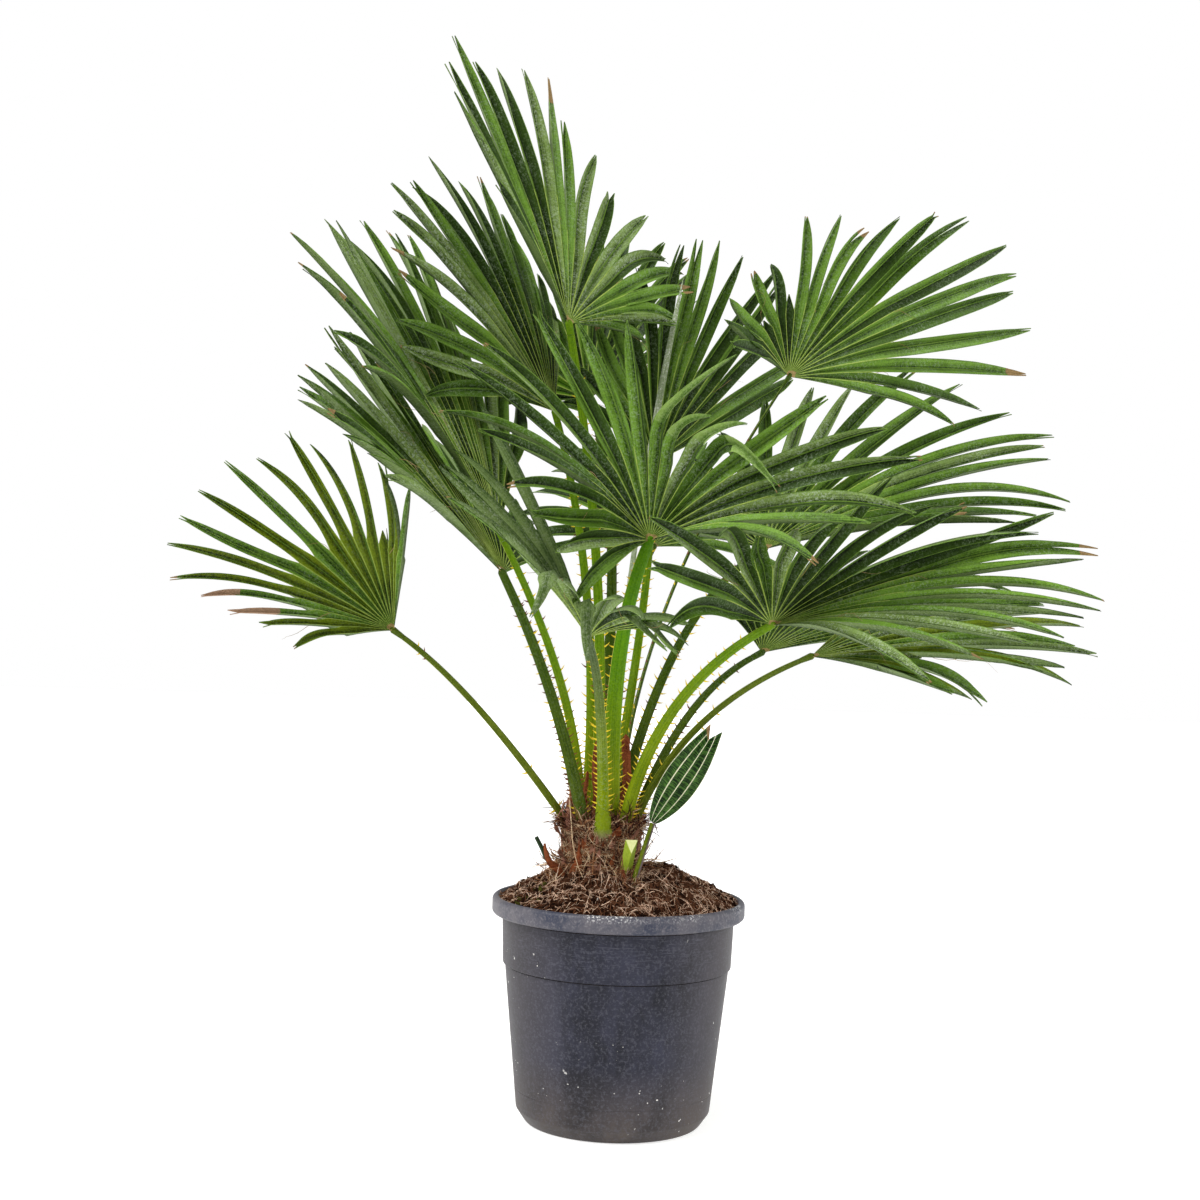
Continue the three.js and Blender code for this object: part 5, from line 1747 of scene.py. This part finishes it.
def soil_height(radius):
    radii = [0, SOIL_FLAT_RADIUS, SOIL_SHOULDER_RADIUS, pot_inside(SOIL_EDGE_HEIGHT)]
    return np.interp(radius, radii, [SOIL_HEIGHT, SOIL_HEIGHT, SOIL_SHOULDER_HEIGHT, SOIL_EDGE_HEIGHT])


def layered_noise(points, layers):
    """Sum of smooth noise in layers of [height, size, seed]."""
    return sum(height * wobble(points, size, seed) for height, size, seed in layers)


def soil_surface(x, y):
    flat = np.stack([x, y, np.zeros_like(x)], -1)
    return soil_height(np.hypot(x, y)) + layered_noise(flat, SOIL_LUMPS)


def earth_look(name, dark, light, roughness=0.95):
    nodes = Nodes(name)
    grains = nodes.noise(nodes.place(), scale=420, detail=4, roughness=0.7)
    clods = nodes.noise(nodes.place(), scale=60, detail=3)
    share = nodes.blend(nodes.span(grains, 0.35, 0.65, 0, 0.6), nodes.span(clods, 0.35, 0.65, 0, 0.4), "ADD")
    colour = nodes.mix(share, linear(dark), linear(light))
    nodes.bump(grains, 0.8, 0.9)
    return nodes.finish(colour, roughness, 0.04)


def lump_lot(places, sizes, looks, chance):
    """Many small uneven lumps: octahedra with their corners pushed about and turned."""
    corners = vector([[1, 0, 0], [0, 1, 0], [-1, 0, 0], [0, -1, 0], [0, 0, 1], [0, 0, -1]])
    sides = [[0, 1, 4], [1, 2, 4], [2, 3, 4], [3, 0, 4], [1, 0, 5], [2, 1, 5], [3, 2, 5], [0, 3, 5]]
    count = len(places)
    shapes = corners * between(CRUMB_UNEVEN, chance.random((count, len(corners), 1)))
    turns = np.linalg.qr(chance.normal(size=(count, 3, 3)))[0]
    stretch = between(CRUMB_UNEVEN, chance.random((count, 1, 3)))
    points = np.einsum("nij,nkj->nki", turns, shapes * stretch) * sizes[:, None, None] + places[:, None]
    faces = (np.array(sides)[None] + (np.arange(count) * len(corners))[:, None, None]).reshape(-1, 3)
    return lot(points, faces, np.repeat(looks, len(sides)))


def curled_paths(starts, ways, lengths, curls, chance, steps):
    """Paths that start off in their own way and wander: (count, steps, 3)."""
    count = len(starts)
    way = ways / np.linalg.norm(ways, axis=1, keepdims=True)
    turn = chance.normal(size=(count, 3))
    turn -= way * (turn * way).sum(1, keepdims=True)
    turn /= np.linalg.norm(turn, axis=1, keepdims=True)
    points = [starts]
    step = (lengths / (steps - 1))[:, None]
    for _ in range(steps - 1):
        way = way + turn * curls[:, None] + chance.normal(size=(count, 3)) * WANDERING
        way /= np.linalg.norm(way, axis=1, keepdims=True)
        points.append(points[-1] + way * step)
    return np.stack(points, 1)


SOIL_LOOKS = ["soil", "crumb", "soil_fibre", "soil_root", "moss", "perlite"]


def soil_reach():
    return pot_inside(SOIL_EDGE_HEIGHT) - SOIL_GAP


def soil_lot():
    radii = np.linspace(0, 1, SOIL_RINGS) ** SOIL_RING_POWER * soil_reach()
    x = radii[:, None] * np.cos(circle(SOIL_SIDES))
    y = radii[:, None] * np.sin(circle(SOIL_SIDES))
    faces = grid_faces(SOIL_RINGS, SOIL_SIDES, wrap=True)
    return lot(np.stack([x, y, soil_surface(x, y)], -1), faces, SOIL_LOOKS.index("soil"))


def scattered(count, chance):
    """Places on the soil, spread evenly over it."""
    radius = soil_reach() * np.sqrt(chance.random(count)) * SOIL_REACH_SHARE
    angle = chance.random(count) * 2 * math.pi
    return radius * np.cos(angle), radius * np.sin(angle)


def crumb_lot(chance):
    """Crumbs of peat, some mossy on one patch, and a few grains of perlite."""
    count = CRUMB_COUNT
    x, y = scattered(count, chance)
    sizes = between(CRUMB_SIZE, chance.random(count) ** 3)
    near = np.hypot(x - MOSS_PLACE[0], y - MOSS_PLACE[1]) < MOSS_RADIUS
    mossy = near & (chance.random(count) < MOSS_SHARE)
    looks = np.where(chance.random(count) < CRUMB_SHARE, SOIL_LOOKS.index("crumb"), SOIL_LOOKS.index("soil"))
    looks[mossy] = SOIL_LOOKS.index("moss")
    looks[:PERLITE_COUNT] = SOIL_LOOKS.index("perlite")
    sizes[:PERLITE_COUNT] = PERLITE_SIZE
    places = np.stack([x, y, soil_surface(x, y) + sizes * CRUMB_RISE], -1)
    return lump_lot(places, sizes, looks, chance)


def soil_fibre_lot(chance):
    """Light and dark fibres that lie on the soil in low waves, and a few that stand up."""
    count = SOIL_FIBRE_COUNT
    x, y = scattered(count, chance)
    starts = np.stack([x, y, soil_surface(x, y) + SOIL_FIBRE_START], -1)
    ways = chance.normal(size=(count, 3)) * SOIL_FIBRE_SPREAD + SOIL_FIBRE_RISE
    lengths = between(SOIL_FIBRE_LENGTH, chance.random(count) ** 1.7)
    curls = between(SOIL_FIBRE_CURL, chance.random(count))
    paths = curled_paths(starts, ways, lengths, curls, chance, len(SOIL_FIBRE_TAPER))
    floor = soil_surface(paths[..., 0], paths[..., 1]) + SOIL_FIBRE_FLOOR
    standing = ((chance.random(count) < STANDING_SHARE) & (np.hypot(x, y) < SOIL_SHOULDER_RADIUS))[:, None]
    height = paths[..., 2] - floor
    waves = WAVE_HEIGHT * np.abs(np.sin(height * WAVE_RATE))
    paths[..., 2] = floor + np.where(standing, np.abs(height) * STANDING_RISE, waves)
    out = np.maximum(np.hypot(paths[..., 0], paths[..., 1]) / (MOUTH_RADIUS - MOUTH_GAP), 1)
    paths[..., :2] /= out[..., None]
    radii = between(SOIL_FIBRE_RADIUS, chance.random(count) ** 2)[:, None] * vector(SOIL_FIBRE_TAPER)
    light = chance.random(count) < LIGHT_FIBRE_SHARE
    looks = np.where(light, SOIL_LOOKS.index("soil_fibre"), SOIL_LOOKS.index("soil_root"))
    return strands(paths, radii, looks)


def make_soil():
    LOOKS["soil"] = earth_look("peat", (5, 2, 1), (42, 22, 12))
    LOOKS["crumb"] = earth_look("peat crumb", (10, 3, 1), (90, 58, 40))
    LOOKS["soil_fibre"] = earth_look("light fibre", (180, 140, 112), (246, 216, 190), 0.85)
    LOOKS["soil_root"] = earth_look("brown fibre", (62, 32, 18), (124, 84, 60), 0.85)
    LOOKS["moss"] = earth_look("moss", (30, 30, 6), (78, 76, 30))
    LOOKS["perlite"] = earth_look("perlite", (176, 170, 160), (220, 214, 204), 0.8)
    chance = np.random.default_rng(SOIL_SEED)
    crumbs = crumb_lot(chance)
    fibres = soil_fibre_lot(chance)
    make_piece("peat", [soil_lot(), crumbs], SOIL_LOOKS, ["soil"], FIBRE_SMOOTH_ANGLE)
    make_piece("peat_fibres", [fibres], SOIL_LOOKS, ["soil"], FIBRE_SMOOTH_ANGLE)


# Trunk


TRUNK_LOOKS = ["bark", "fibre", "pale_fibre", "dark_fibre", "sheath", "papery"]


def stem_radius(height):
    share = (height - SOIL_HEIGHT) / (STEM_TOP - SOIL_HEIGHT)
    shares, radii = zip(*STEM_LEVELS)
    return np.interp(share, shares, radii)


def stem_point(angle, height, proud):
    radius = stem_radius(height) + proud
    return np.stack([STEM_X + radius * np.cos(angle), STEM_Y + radius * np.sin(angle), height], -1)


def sheath_lots(angle, foot, height, width, lean, look, chance, steps=SHEATH_STEPS, across=SHEATH_ACROSS):
    """A dry leaf sheath: a narrow plate that follows the stem, leans out and ends in a ragged point."""
    rows = []
    for i in range(steps + 1):
        t = i / steps
        row = []
        for j in range(across + 1):
            u = j / across * 2 - 1
            ragged = SHEATH_RAGGED_SHARE * t * (chance.random() - 0.5)
            rise = height * t * (1 - SHEATH_EDGE_SHARE * abs(u) * t + ragged)
            aside = u * width / 2 * (1 - SHEATH_NARROWING * t ** 1.5) + SHEATH_LEAN_ASIDE * height * t
            rough = SHEATH_ROUGHNESS * (chance.random() - 0.5)
            proud = SHEATH_PROUD + lean * t ** 2 * height - SHEATH_HOLLOW * abs(u) + rough
            row.append(stem_point(angle + aside / STEM_REACH, foot + rise, proud))
        rows.append(row)
    return plate_lots(np.array(rows), unit(vector([math.cos(angle), math.sin(angle), 0])), look)


def plate_lots(front, out, look):
    """Front and back of a thin plate from rows of points."""
    lots = []
    for points, flip in ((front, False), (front - out, True)):
        faces = grid_faces(*front.shape[:2])
        lots.append(lot(points, faces[:, ::-1] if flip else faces, look))
    return lots


def standing_sheath_lots(sheaths, look):
    """Dry sheaths that stand up, of inner leaves between the stalks or of dead ones in the soil."""
    chance = np.random.default_rng(STANDING_SEED)
    lots = []
    for x, y, foot, height, width, top_width in sheaths:
        rows = []
        for t in np.linspace(0, 1, STANDING_ROWS):
            uneven = 1 + STANDING_WIDTH_JITTER * (chance.random() - 0.5)
            half = between([width, top_width], t) / 2 * uneven
            sway = STANDING_SWAY * math.sin(STANDING_SWAY_RATE * t + x)
            row = []
            for u in np.linspace(-1, 1, STANDING_CORNERS):
                rough = STANDING_ROUGHNESS * (chance.random() - 0.5)
                level = foot + height * t * (1 - STANDING_EDGE_DROP * abs(u))
                row.append([x + sway + u * half, y + STANDING_HOLLOW * u * u + rough, level])
            rows.append(row)
        lots += plate_lots(np.array(rows), vector([0, -1, 0]), look)
    return lots


def stem_lot():
    """The stem itself, lumpy, closed over at the top."""
    levels = np.append(np.linspace(*STEM_ENDS, STEM_ROWS), [STEM_CLOSED_HEIGHT] * len(STEM_CLOSING))
    narrow = np.append(np.ones(STEM_ROWS), STEM_CLOSING)
    height, angle = np.meshgrid(levels, circle(STEM_SIDES), indexing="ij")
    points = stem_point(angle, height, -STEM_DEPTH)
    bumps = 1 + layered_noise(points, STEM_LUMPS) / STEM_REACH
    centre = vector([STEM_X, STEM_Y])
    points[..., :2] = centre + (points[..., :2] - centre) * (bumps * narrow[:, None])[..., None]
    return lot(points, grid_faces(len(levels), STEM_SIDES, wrap=True), TRUNK_LOOKS.index("bark"))


def tapering(count, limits, steps, chance):
    """Radii of strands, mostly thin, that thin out to their ends."""
    thinning = 1 - FIBRE_THINNING * np.linspace(0, 1, steps) ** 3
    return between(limits, chance.random(count) ** 2)[:, None] * thinning


def fibre_looks(count, shares, chance):
    """Looks of strands, dealt out by their shares."""
    return chance.choice([TRUNK_LOOKS.index(look) for look in shares], count, p=list(shares.values()))


def hair_lot(chance):
    """Fine matted hair that lies criss-cross in clumps on the stem, with some loose ends."""
    count = HAIR_COUNT
    tries = 2 * count
    angle = chance.random(tries) * 2 * math.pi
    height = between(HAIR_LEVELS, chance.random(tries))
    clumps = wobble(stem_point(angle, height, 0), HAIR_CLUMP_SIZE, HAIR_CLUMP_SEED)
    kept = np.argsort(-(clumps + HAIR_CLUMP_CHANCE * chance.random(tries)))[:count]
    angle, height = angle[kept], height[kept]
    t = np.linspace(0, 1, HAIR_STEPS)
    heading = chance.random(count) * 2 * math.pi
    headings = heading[:, None] + chance.normal(size=count)[:, None] * HAIR_TURN * t
    step = between(HAIR_LENGTH, chance.random(count) ** 1.5)[:, None] / HAIR_STEPS
    turn = angle[:, None] + np.cumsum(np.cos(headings) * step, 1) / STEM_REACH
    rise = height[:, None] + np.cumsum(np.sin(headings) * step, 1)
    low, high = HAIR_LIFT
    lift = np.where(chance.random(count) < LOOSE_HAIR_SHARE, high, low) * chance.random(count)
    proud = between(HAIR_DEPTH, chance.random(count))[:, None] + lift[:, None] * t ** 2
    paths = stem_point(turn, np.clip(rise, *HAIR_LIMITS), proud)
    looks = fibre_looks(count, HAIR_LOOKS, chance)
    return strands(paths, tapering(count, HAIR_RADIUS, HAIR_STEPS, chance), looks)


def tuft_lot(chance):
    """Bristly fibre between the feet of the stalks, but not in front of the bare one."""
    count = TUFT_COUNT
    angle = chance.random(count) * 2 * math.pi
    inward = TUFT_DEPTH * chance.random(count) ** 1.5
    bare = next(math.radians(frond["seat"][0]) for frond in FRONDS if frond["name"] == BARE_FOOT)
    away = np.abs((angle - bare + math.pi) % (2 * math.pi) - math.pi)
    kept = (away > math.radians(BARE_ANGLE)) | (inward > BARE_DEPTH)
    angle, inward = angle[kept], inward[kept]
    count = len(angle)
    starts = stem_point(angle, between(TUFT_LEVELS, chance.random(count)), -inward)
    outward = np.stack([np.cos(angle), np.sin(angle), np.zeros(count)], -1)
    ways = outward * (TUFT_OUTWARD * (1 - inward / TUFT_DEPTH))[:, None] + [0, 0, 1]
    ways = ways + chance.normal(size=(count, 3)) * TUFT_SPREAD
    lengths = between(TUFT_LENGTH, chance.random(count) ** 1.3)
    curls = between(TUFT_CURL, chance.random(count))
    paths = curled_paths(starts, ways, lengths, curls, chance, TUFT_STEPS)
    looks = fibre_looks(count, TUFT_LOOKS, chance)
    return strands(paths, tapering(count, TUFT_RADIUS, TUFT_STEPS, chance), looks)


def skirt_lot(chance):
    """Root-like fibre that spreads from the stem's foot over the soil."""
    count = SKIRT_COUNT
    angle = chance.random(count) * 2 * math.pi
    starts = stem_point(angle, between(SKIRT_LEVELS, chance.random(count)), SKIRT_START)
    outward = np.stack([np.cos(angle), np.sin(angle), np.full(count, SKIRT_SLOPE)], -1)
    ways = outward + chance.normal(size=(count, 3)) * SKIRT_SPREAD
    lengths = between(SKIRT_LENGTH, chance.random(count))
    curls = between(SKIRT_CURL, chance.random(count))
    paths = curled_paths(starts, ways, lengths, curls, chance, SKIRT_STEPS)
    floor = soil_surface(paths[..., 0], paths[..., 1]) + SKIRT_FLOOR
    paths[..., 2] = np.maximum(paths[..., 2], floor)
    radii = tapering(count, SKIRT_RADIUS, SKIRT_STEPS, chance)
    return strands(paths, radii, fibre_looks(count, SKIRT_LOOKS, chance))


def foot_lot(chance):
    """Short fibre round the feet of the stubs, which hides where they go into the soil."""
    count = FOOT_FIBRE_COUNT * len(SHAGGY_FEET)
    feet = np.repeat(vector(SHAGGY_FEET), FOOT_FIBRE_COUNT, axis=0)
    angle = chance.random(count) * 2 * math.pi
    radius = between(FOOT_FIBRE_REACH, chance.random(count))
    x = feet[:, 0] + radius * np.cos(angle)
    y = feet[:, 1] + radius * np.sin(angle)
    starts = np.stack([x, y, soil_surface(x, y) - FOOT_FIBRE_SINK], -1)
    ways = np.array([0, 0, 1]) + chance.normal(size=(count, 3)) * FOOT_FIBRE_SPREAD
    lengths = between(FOOT_FIBRE_LENGTH, chance.random(count))
    curls = between(FOOT_FIBRE_CURL, chance.random(count))
    paths = curled_paths(starts, ways, lengths, curls, chance, FOOT_FIBRE_STEPS)
    radii = tapering(count, FOOT_FIBRE_RADIUS, FOOT_FIBRE_STEPS, chance)
    return strands(paths, radii, fibre_looks(count, FOOT_FIBRE_LOOKS, chance))


def scrap_lots(chance):
    """A small scrap of sheath in the hair."""
    angle = chance.random() * 2 * math.pi
    foot = between(SCRAP_LEVELS, chance.random())
    size = chance.random()
    look = TRUNK_LOOKS.index("sheath" if chance.random() < RED_SCRAP_SHARE else "papery")
    lean = SCRAP_LEAN * chance.random()
    height = between(SCRAP_HEIGHT, size)
    width = between(SCRAP_WIDTH, size)
    return sheath_lots(angle, foot, height, width, lean, look, chance, SCRAP_STEPS, SCRAP_ACROSS)


def smooth_path(points, steps):
    """Even steps along a smooth line through a few points."""
    points = [vector(point) for point in points]
    return [through_points(points, place) for place in np.linspace(0, len(points) - 1, steps)]


def loose_strand_lot(points, thickness, look):
    radii = thickness * (1 - LOOSE_STRAND_TAPER * np.linspace(0, 1, LOOSE_STRAND_STEPS) ** 2)
    path = smooth_path(points, LOOSE_STRAND_STEPS)
    return strands([path], radii[None], TRUNK_LOOKS.index(look), LOOSE_STRAND_SIDES)


def make_trunk():
    LOOKS["bark"] = earth_look("matted fibre", (10, 4, 2), (54, 32, 22))
    LOOKS["fibre"] = earth_look("brown hair", (88, 46, 26), (174, 126, 90), 0.85)
    LOOKS["pale_fibre"] = earth_look("pale hair", (164, 134, 102), (222, 196, 160), 0.85)
    LOOKS["dark_fibre"] = earth_look("dark hair", (28, 12, 8), (80, 48, 38), 0.85)
    chance = np.random.default_rng(STEM_SEED)
    lots = [stem_lot(), hair_lot(chance)]
    tufts = [tuft_lot(chance), skirt_lot(chance), foot_lot(chance)]
    make_piece("fibre_tufts", tufts, TRUNK_LOOKS, ["trunk"], FIBRE_SMOOTH_ANGLE)
    for angle, foot, height, width, lean, look in SHEATHS:
        lots += sheath_lots(math.radians(angle), foot, height, width, lean, TRUNK_LOOKS.index(look), chance)
    lots += standing_sheath_lots(STUMPS, TRUNK_LOOKS.index("sheath"))
    for _ in range(SCRAP_COUNT):
        lots += scrap_lots(chance)
    lots += [loose_strand_lot(*strand) for strand in LOOSE_STRANDS]
    make_piece("fibrous_stem", lots, TRUNK_LOOKS, ["trunk"], FIBRE_SMOOTH_ANGLE)


# Spear leaf, young leaf and stubs


def make_spear():
    """Closed folded leaf: narrow pleats side by side that come to a point."""
    curve = spear_curve()
    wide = level_across(curve[0], curve[2])
    rows = []
    columns = 2 * SPEAR_PLEATS
    for i in range(SPEAR_ROWS + 1):
        t = i / SPEAR_ROWS
        centre, _, across, through = section_at(curve, wide, t)
        width = SPEAR_WIDTH * float(np.interp(t, SPEAR_SHARES, SPEAR_WIDTHS))
        row = []
        for j in range(2 * columns):
            angle = j / columns * math.pi
            size = width * (1 if j % 2 else SPEAR_PLEAT_DEPTH)
            deep = math.sin(angle) * size * SPEAR_THICKNESS_SHARE
            row.append(centre + across * (math.cos(angle) * size / 2) + through * deep)
        rows.append(row)
    LOOKS["spear"] = leaf_look("whitish spear", (104, 122, 84), (150, 160, 128), (206, 208, 198), 0.75, 0.6)
    body = lot(rows, grid_faces(SPEAR_ROWS + 1, 2 * columns, wrap=True), 0)
    make_piece("spear", [body], ["spear"], ["spear_leaf"], PLEAT_SMOOTH_ANGLE)


def limb_lot(start, end, width, end_width, look):
    """Straight tapering limb with an oval section."""
    curve = [start, (start + end) / 2, end]
    wide = lambda t: between([width, end_width], t)
    deep = lambda t: LIMB_THICKNESS_SHARE * wide(t)
    points, faces = tube(curve, level_across(start, end), wide, deep, STUB_STEPS, STUB_SIDES, True)
    return lot(points, faces, look)


def young_point(axes, t, across, height):
    """Point of the young leaf at a share of its length and of its half width, raised by height."""
    hub, aim, side, up, length = axes
    opened = math.sin(math.pi * YOUNG_OUTLINE_END * t ** YOUNG_OUTLINE_POWER)
    width = YOUNG_STALK_WIDTH + (YOUNG_WIDTH - YOUNG_STALK_WIDTH) * opened
    notch = YOUNG_NOTCH * t ** YOUNG_NOTCH_POWER * (1 - abs(across))
    bulge = YOUNG_BULGE * (1 - across * across) * math.sin(math.pi * t)
    distance = YOUNG_START + (length - YOUNG_START) * t - notch
    return hub + aim * distance + side * (across * width / 2) + up * (bulge + height)


def young_look():
    """Dark glossy green with fine ripples across the leaf."""
    nodes = Nodes("young leaf")
    ripples = nodes.noise(nodes.place((60, 620, 1), lay=True), detail=2)
    mottle = nodes.noise(nodes.place(), scale=60, detail=3)
    share = nodes.blend(nodes.span(ripples, 0.44, 0.6, 0, 0.7), nodes.span(mottle, 0.4, 0.7, 0, 0.25), "ADD")
    colour = nodes.mix(share, linear((2, 24, 2)), linear((74, 112, 46)))
    nodes.bump(ripples, 0.5, 0.8)
    return nodes.finish(colour, 0.42, 0.12)


def make_young_leaf():
    hub = vector(YOUNG_HUB)
    aim = unit(vector(YOUNG_TIP) - hub)
    up = unit(vector([0, -1, 0]) - aim * -aim[1])
    axes = (hub, aim, np.cross(aim, up), up, np.linalg.norm(vector(YOUNG_TIP) - hub))
    ridges = YOUNG_PLEATS + 1
    places = []
    for j in range(2 * ridges - 1):
        u = j / (2 * ridges - 2) * 2 - 1
        if j % 2:
            places.append((u, -1, 0))
            continue
        for offset in (-YOUNG_VEIN_SHARE, YOUNG_VEIN_SHARE):
            places.append((min(max(u + offset, -1), 1), 1, 1))
    places = places[:-1] if places[-1][0] == places[-2][0] else places
    sheets = []
    for i in range(YOUNG_ROWS + 1):
        t = i / YOUNG_ROWS
        depth = YOUNG_PLEAT_DEPTH / 2 * min(1, 4 * t * (YOUNG_PLEAT_END - t))
        sheets.append([young_point(axes, t, u, sign * depth) for u, sign, _ in places])
    sheets = np.array(sheets)
    vein = []
    for (start, _, ridge), (end, _, next_ridge) in zip(places, places[1:]):
        vein.append(int(ridge and next_ridge and abs(end - start) < VEIN_WIDTH_SHARE_MAX))
    faces = grid_faces(YOUNG_ROWS + 1, len(places))
    looks = np.tile(vein, (YOUNG_ROWS, 1))
    looks[-YOUNG_TIP_ROWS:, :len(vein) // 2] = 2
    looks = looks.ravel()
    lay = np.zeros(sheets.shape[:2] + (2,))
    lay[..., 0] = [place[0] * YOUNG_WIDTH / 2 for place in places]
    lay[..., 1] = np.linspace(0, axes[4], YOUNG_ROWS + 1)[:, None]
    back = sheets - up * YOUNG_THICKNESS
    lots = [lot(sheets, faces, looks, lay), lot(back, faces[:, ::-1], looks, lay)]
    LOOKS["young"] = young_look()
    LOOKS["vein"] = leaf_look("cream vein", (176, 178, 140), (222, 218, 190))
    make_piece("young_fan", lots, ["young", "vein", "tip"], ["young_leaf"], PLEAT_SMOOTH_ANGLE)


def stub_foot(foot, width):
    radius = math.hypot(*foot) - width / 2
    return vector([*foot, soil_height(radius) - STUB_SINK])


def cut_lot():
    """Stub of a cut stalk: three-cornered, with an edge in front and a top that slopes down to it."""
    foot = stub_foot(CUT_FOOT, CUT_WIDTH)
    top = vector(CUT_TOP)
    rows = []
    for t in np.linspace(0, 1, CUT_ROWS + 1):
        centre = foot + (top - foot) * t
        row = []
        for across, ahead in CUT_SECTION:
            point = centre + vector([across, -ahead * LIMB_THICKNESS_SHARE, 0]) * (CUT_WIDTH / 2)
            point[2] -= CUT_DROP * t * max(0, ahead)
            row.append(point)
        rows.append(row)
    corners = len(CUT_SECTION)
    points = np.array(rows).reshape(-1, 3)
    body = lot(points, grid_faces(CUT_ROWS + 1, corners, wrap=True), 0)
    last = CUT_ROWS * corners
    cap = [[last, last + k, last + k + 1] for k in range(1, corners - 1)]
    return body, lot(points, cap, 1)


def path_lot(points, radii, look):
    """Rounded tube through a few points."""
    places = np.linspace(0, len(points) - 1, PATH_STEPS)
    radii = np.interp(places, range(len(points)), radii)
    return strands([smooth_path(points, PATH_STEPS)], radii[None], look, PATH_SIDES)


def make_stubs():
    LOOKS["cut"] = leaf_look("cut stalk", (104, 130, 20), (156, 170, 60))
    LOOKS["cut_face"] = leaf_look("pale cut face", (184, 190, 120), (212, 214, 158))
    LOOKS["stub"] = leaf_look("dark stub", (22, 32, 20), (56, 74, 48))
    LOOKS["purple"] = leaf_look("purple edge", (76, 62, 66), (126, 112, 110))
    foot = stub_foot(YOUNG_FOOT, YOUNG_STALK_WIDTH)
    hub = vector(YOUNG_HUB)
    edge = vector([YOUNG_EDGE_PLACE, 0, 0])
    lots = [
        limb_lot(foot, hub, YOUNG_STALK_WIDTH, YOUNG_STALK_END_WIDTH, 0),
        limb_lot(foot + edge, hub + edge, *YOUNG_EDGE_WIDTHS, 1),
    ]
    make_piece("young_leaf_stalk", lots, ["pale_stalk", "purple"], ["young_stalk"])
    make_piece("cut_stub", cut_lot(), ["cut", "cut_face"], ["cut_stalk"])
    lots = [
        path_lot(BROKEN_PATH, BROKEN_RADII, 0),
        path_lot(BROKEN_SHEATH, BROKEN_SHEATH_RADII, 1),
    ]
    make_piece("broken_stub", lots, ["stub", "sheath"], ["broken_stalk"])


# Threads between the leaflets


def thread_lot(fan):
    """Thin dry filaments that hang from some of the splits between leaflets."""
    paths = []
    steps = np.linspace(0, 1, len(THREAD_TAPER))[:, None]
    for k in range(1, fan.count):
        if scatter(fan.index + THREAD_CHANCE, k) > THREAD_SHARE:
            continue
        axes = fan.seam_axes[k]
        length = between(THREAD_LENGTH, scatter(fan.index + THREAD_LENGTH_CHANCE, k))
        bend = length * THREAD_BEND * steps ** 2
        path = fan.seam(k) + axes.aim * (length * steps)
        path = path + axes.side * (either_way(fan.index + THREAD_BEND_CHANCE, k) * bend)
        path = path - vector([0, 0, 1]) * bend
        paths.append(path + axes.up * (length * THREAD_WAVE * np.sin(steps * THREAD_WAVE_RATE + k)))
    if not paths:
        return []
    return [strands(paths, THREAD_RADIUS * vector(THREAD_TAPER), NUMBERS["thread"])]


# The whole scene


def make_stage():
    mesh = bpy.data.meshes.new("floor")
    size = FLOOR_SIZE * MM
    corners = [(-size, -size, 0), (size, -size, 0), (size, size, 0), (-size, size, 0)]
    mesh.from_pydata(corners, [], [(0, 1, 2, 3)])
    floor = add_object("floor", mesh)
    nodes = Nodes("pale floor")
    dust = nodes.noise(nodes.place(), scale=3, detail=4)
    colour = nodes.mix(dust, linear((212, 212, 211)), linear((218, 218, 217)))
    nodes.join(colour, nodes.shader, "Emission Color")
    nodes.shader.inputs["Emission Strength"].default_value = FLOOR_GLOW
    mesh.materials.append(nodes.finish(colour, 0.7, 0.2))


def make_sun(name, way, power, spread):
    """Soft even light that comes from a direction."""
    lamp = bpy.data.lights.new(name, "SUN")
    lamp.energy = power
    lamp.angle = math.radians(spread)
    light = add_object(name, lamp)
    light.rotation_euler = (-Vector(way)).to_track_quat("-Z", "Y").to_euler()


def make_lights():
    """White surround, dimmer overhead, with soft light from above on both sides."""
    bpy.context.scene.view_settings.view_transform = "Standard"
    world = bpy.data.worlds.new("studio")
    world.use_nodes = True
    tree = world.node_tree
    place = tree.nodes.new("ShaderNodeTexCoord")
    parts = tree.nodes.new("ShaderNodeSeparateXYZ")
    fall = tree.nodes.new("ShaderNodeMapRange")
    for socket, number in zip(("From Min", "From Max", "To Min", "To Max"), SURROUND_FALL):
        fall.inputs[socket].default_value = number
    tree.links.new(place.outputs["Generated"], parts.inputs[0])
    tree.links.new(parts.outputs["Z"], fall.inputs["Value"])
    background = tree.nodes["Background"]
    background.inputs["Color"].default_value = (1, 1, 1, 1)
    tree.links.new(fall.outputs[0], background.inputs["Strength"])
    bpy.context.scene.world = world
    for name, way, power, spread in SUNS:
        make_sun(name, way, power, spread)


def make_camera():
    camera = add_object("camera", bpy.data.cameras.new("camera"))
    camera.data.lens = CAMERA_LENS
    camera.data.sensor_width = CAMERA_SENSOR
    camera.location = metres(CAMERA_PLACE)
    tilt = Matrix.Rotation(math.radians(90), 4, "X") @ Matrix.Rotation(math.radians(CAMERA_ROLL), 4, "Z")
    camera.rotation_euler = tilt.to_euler()
    bpy.context.scene.camera = camera


make_camera()
make_lights()
make_stage()
make_looks()
make_pot()
make_soil()
make_trunk()
make_spear()
make_young_leaf()
make_stubs()
for index, fan in enumerate(place_fronds()):
    make_blade(fan)
    make_stalk(fan.frond, index)
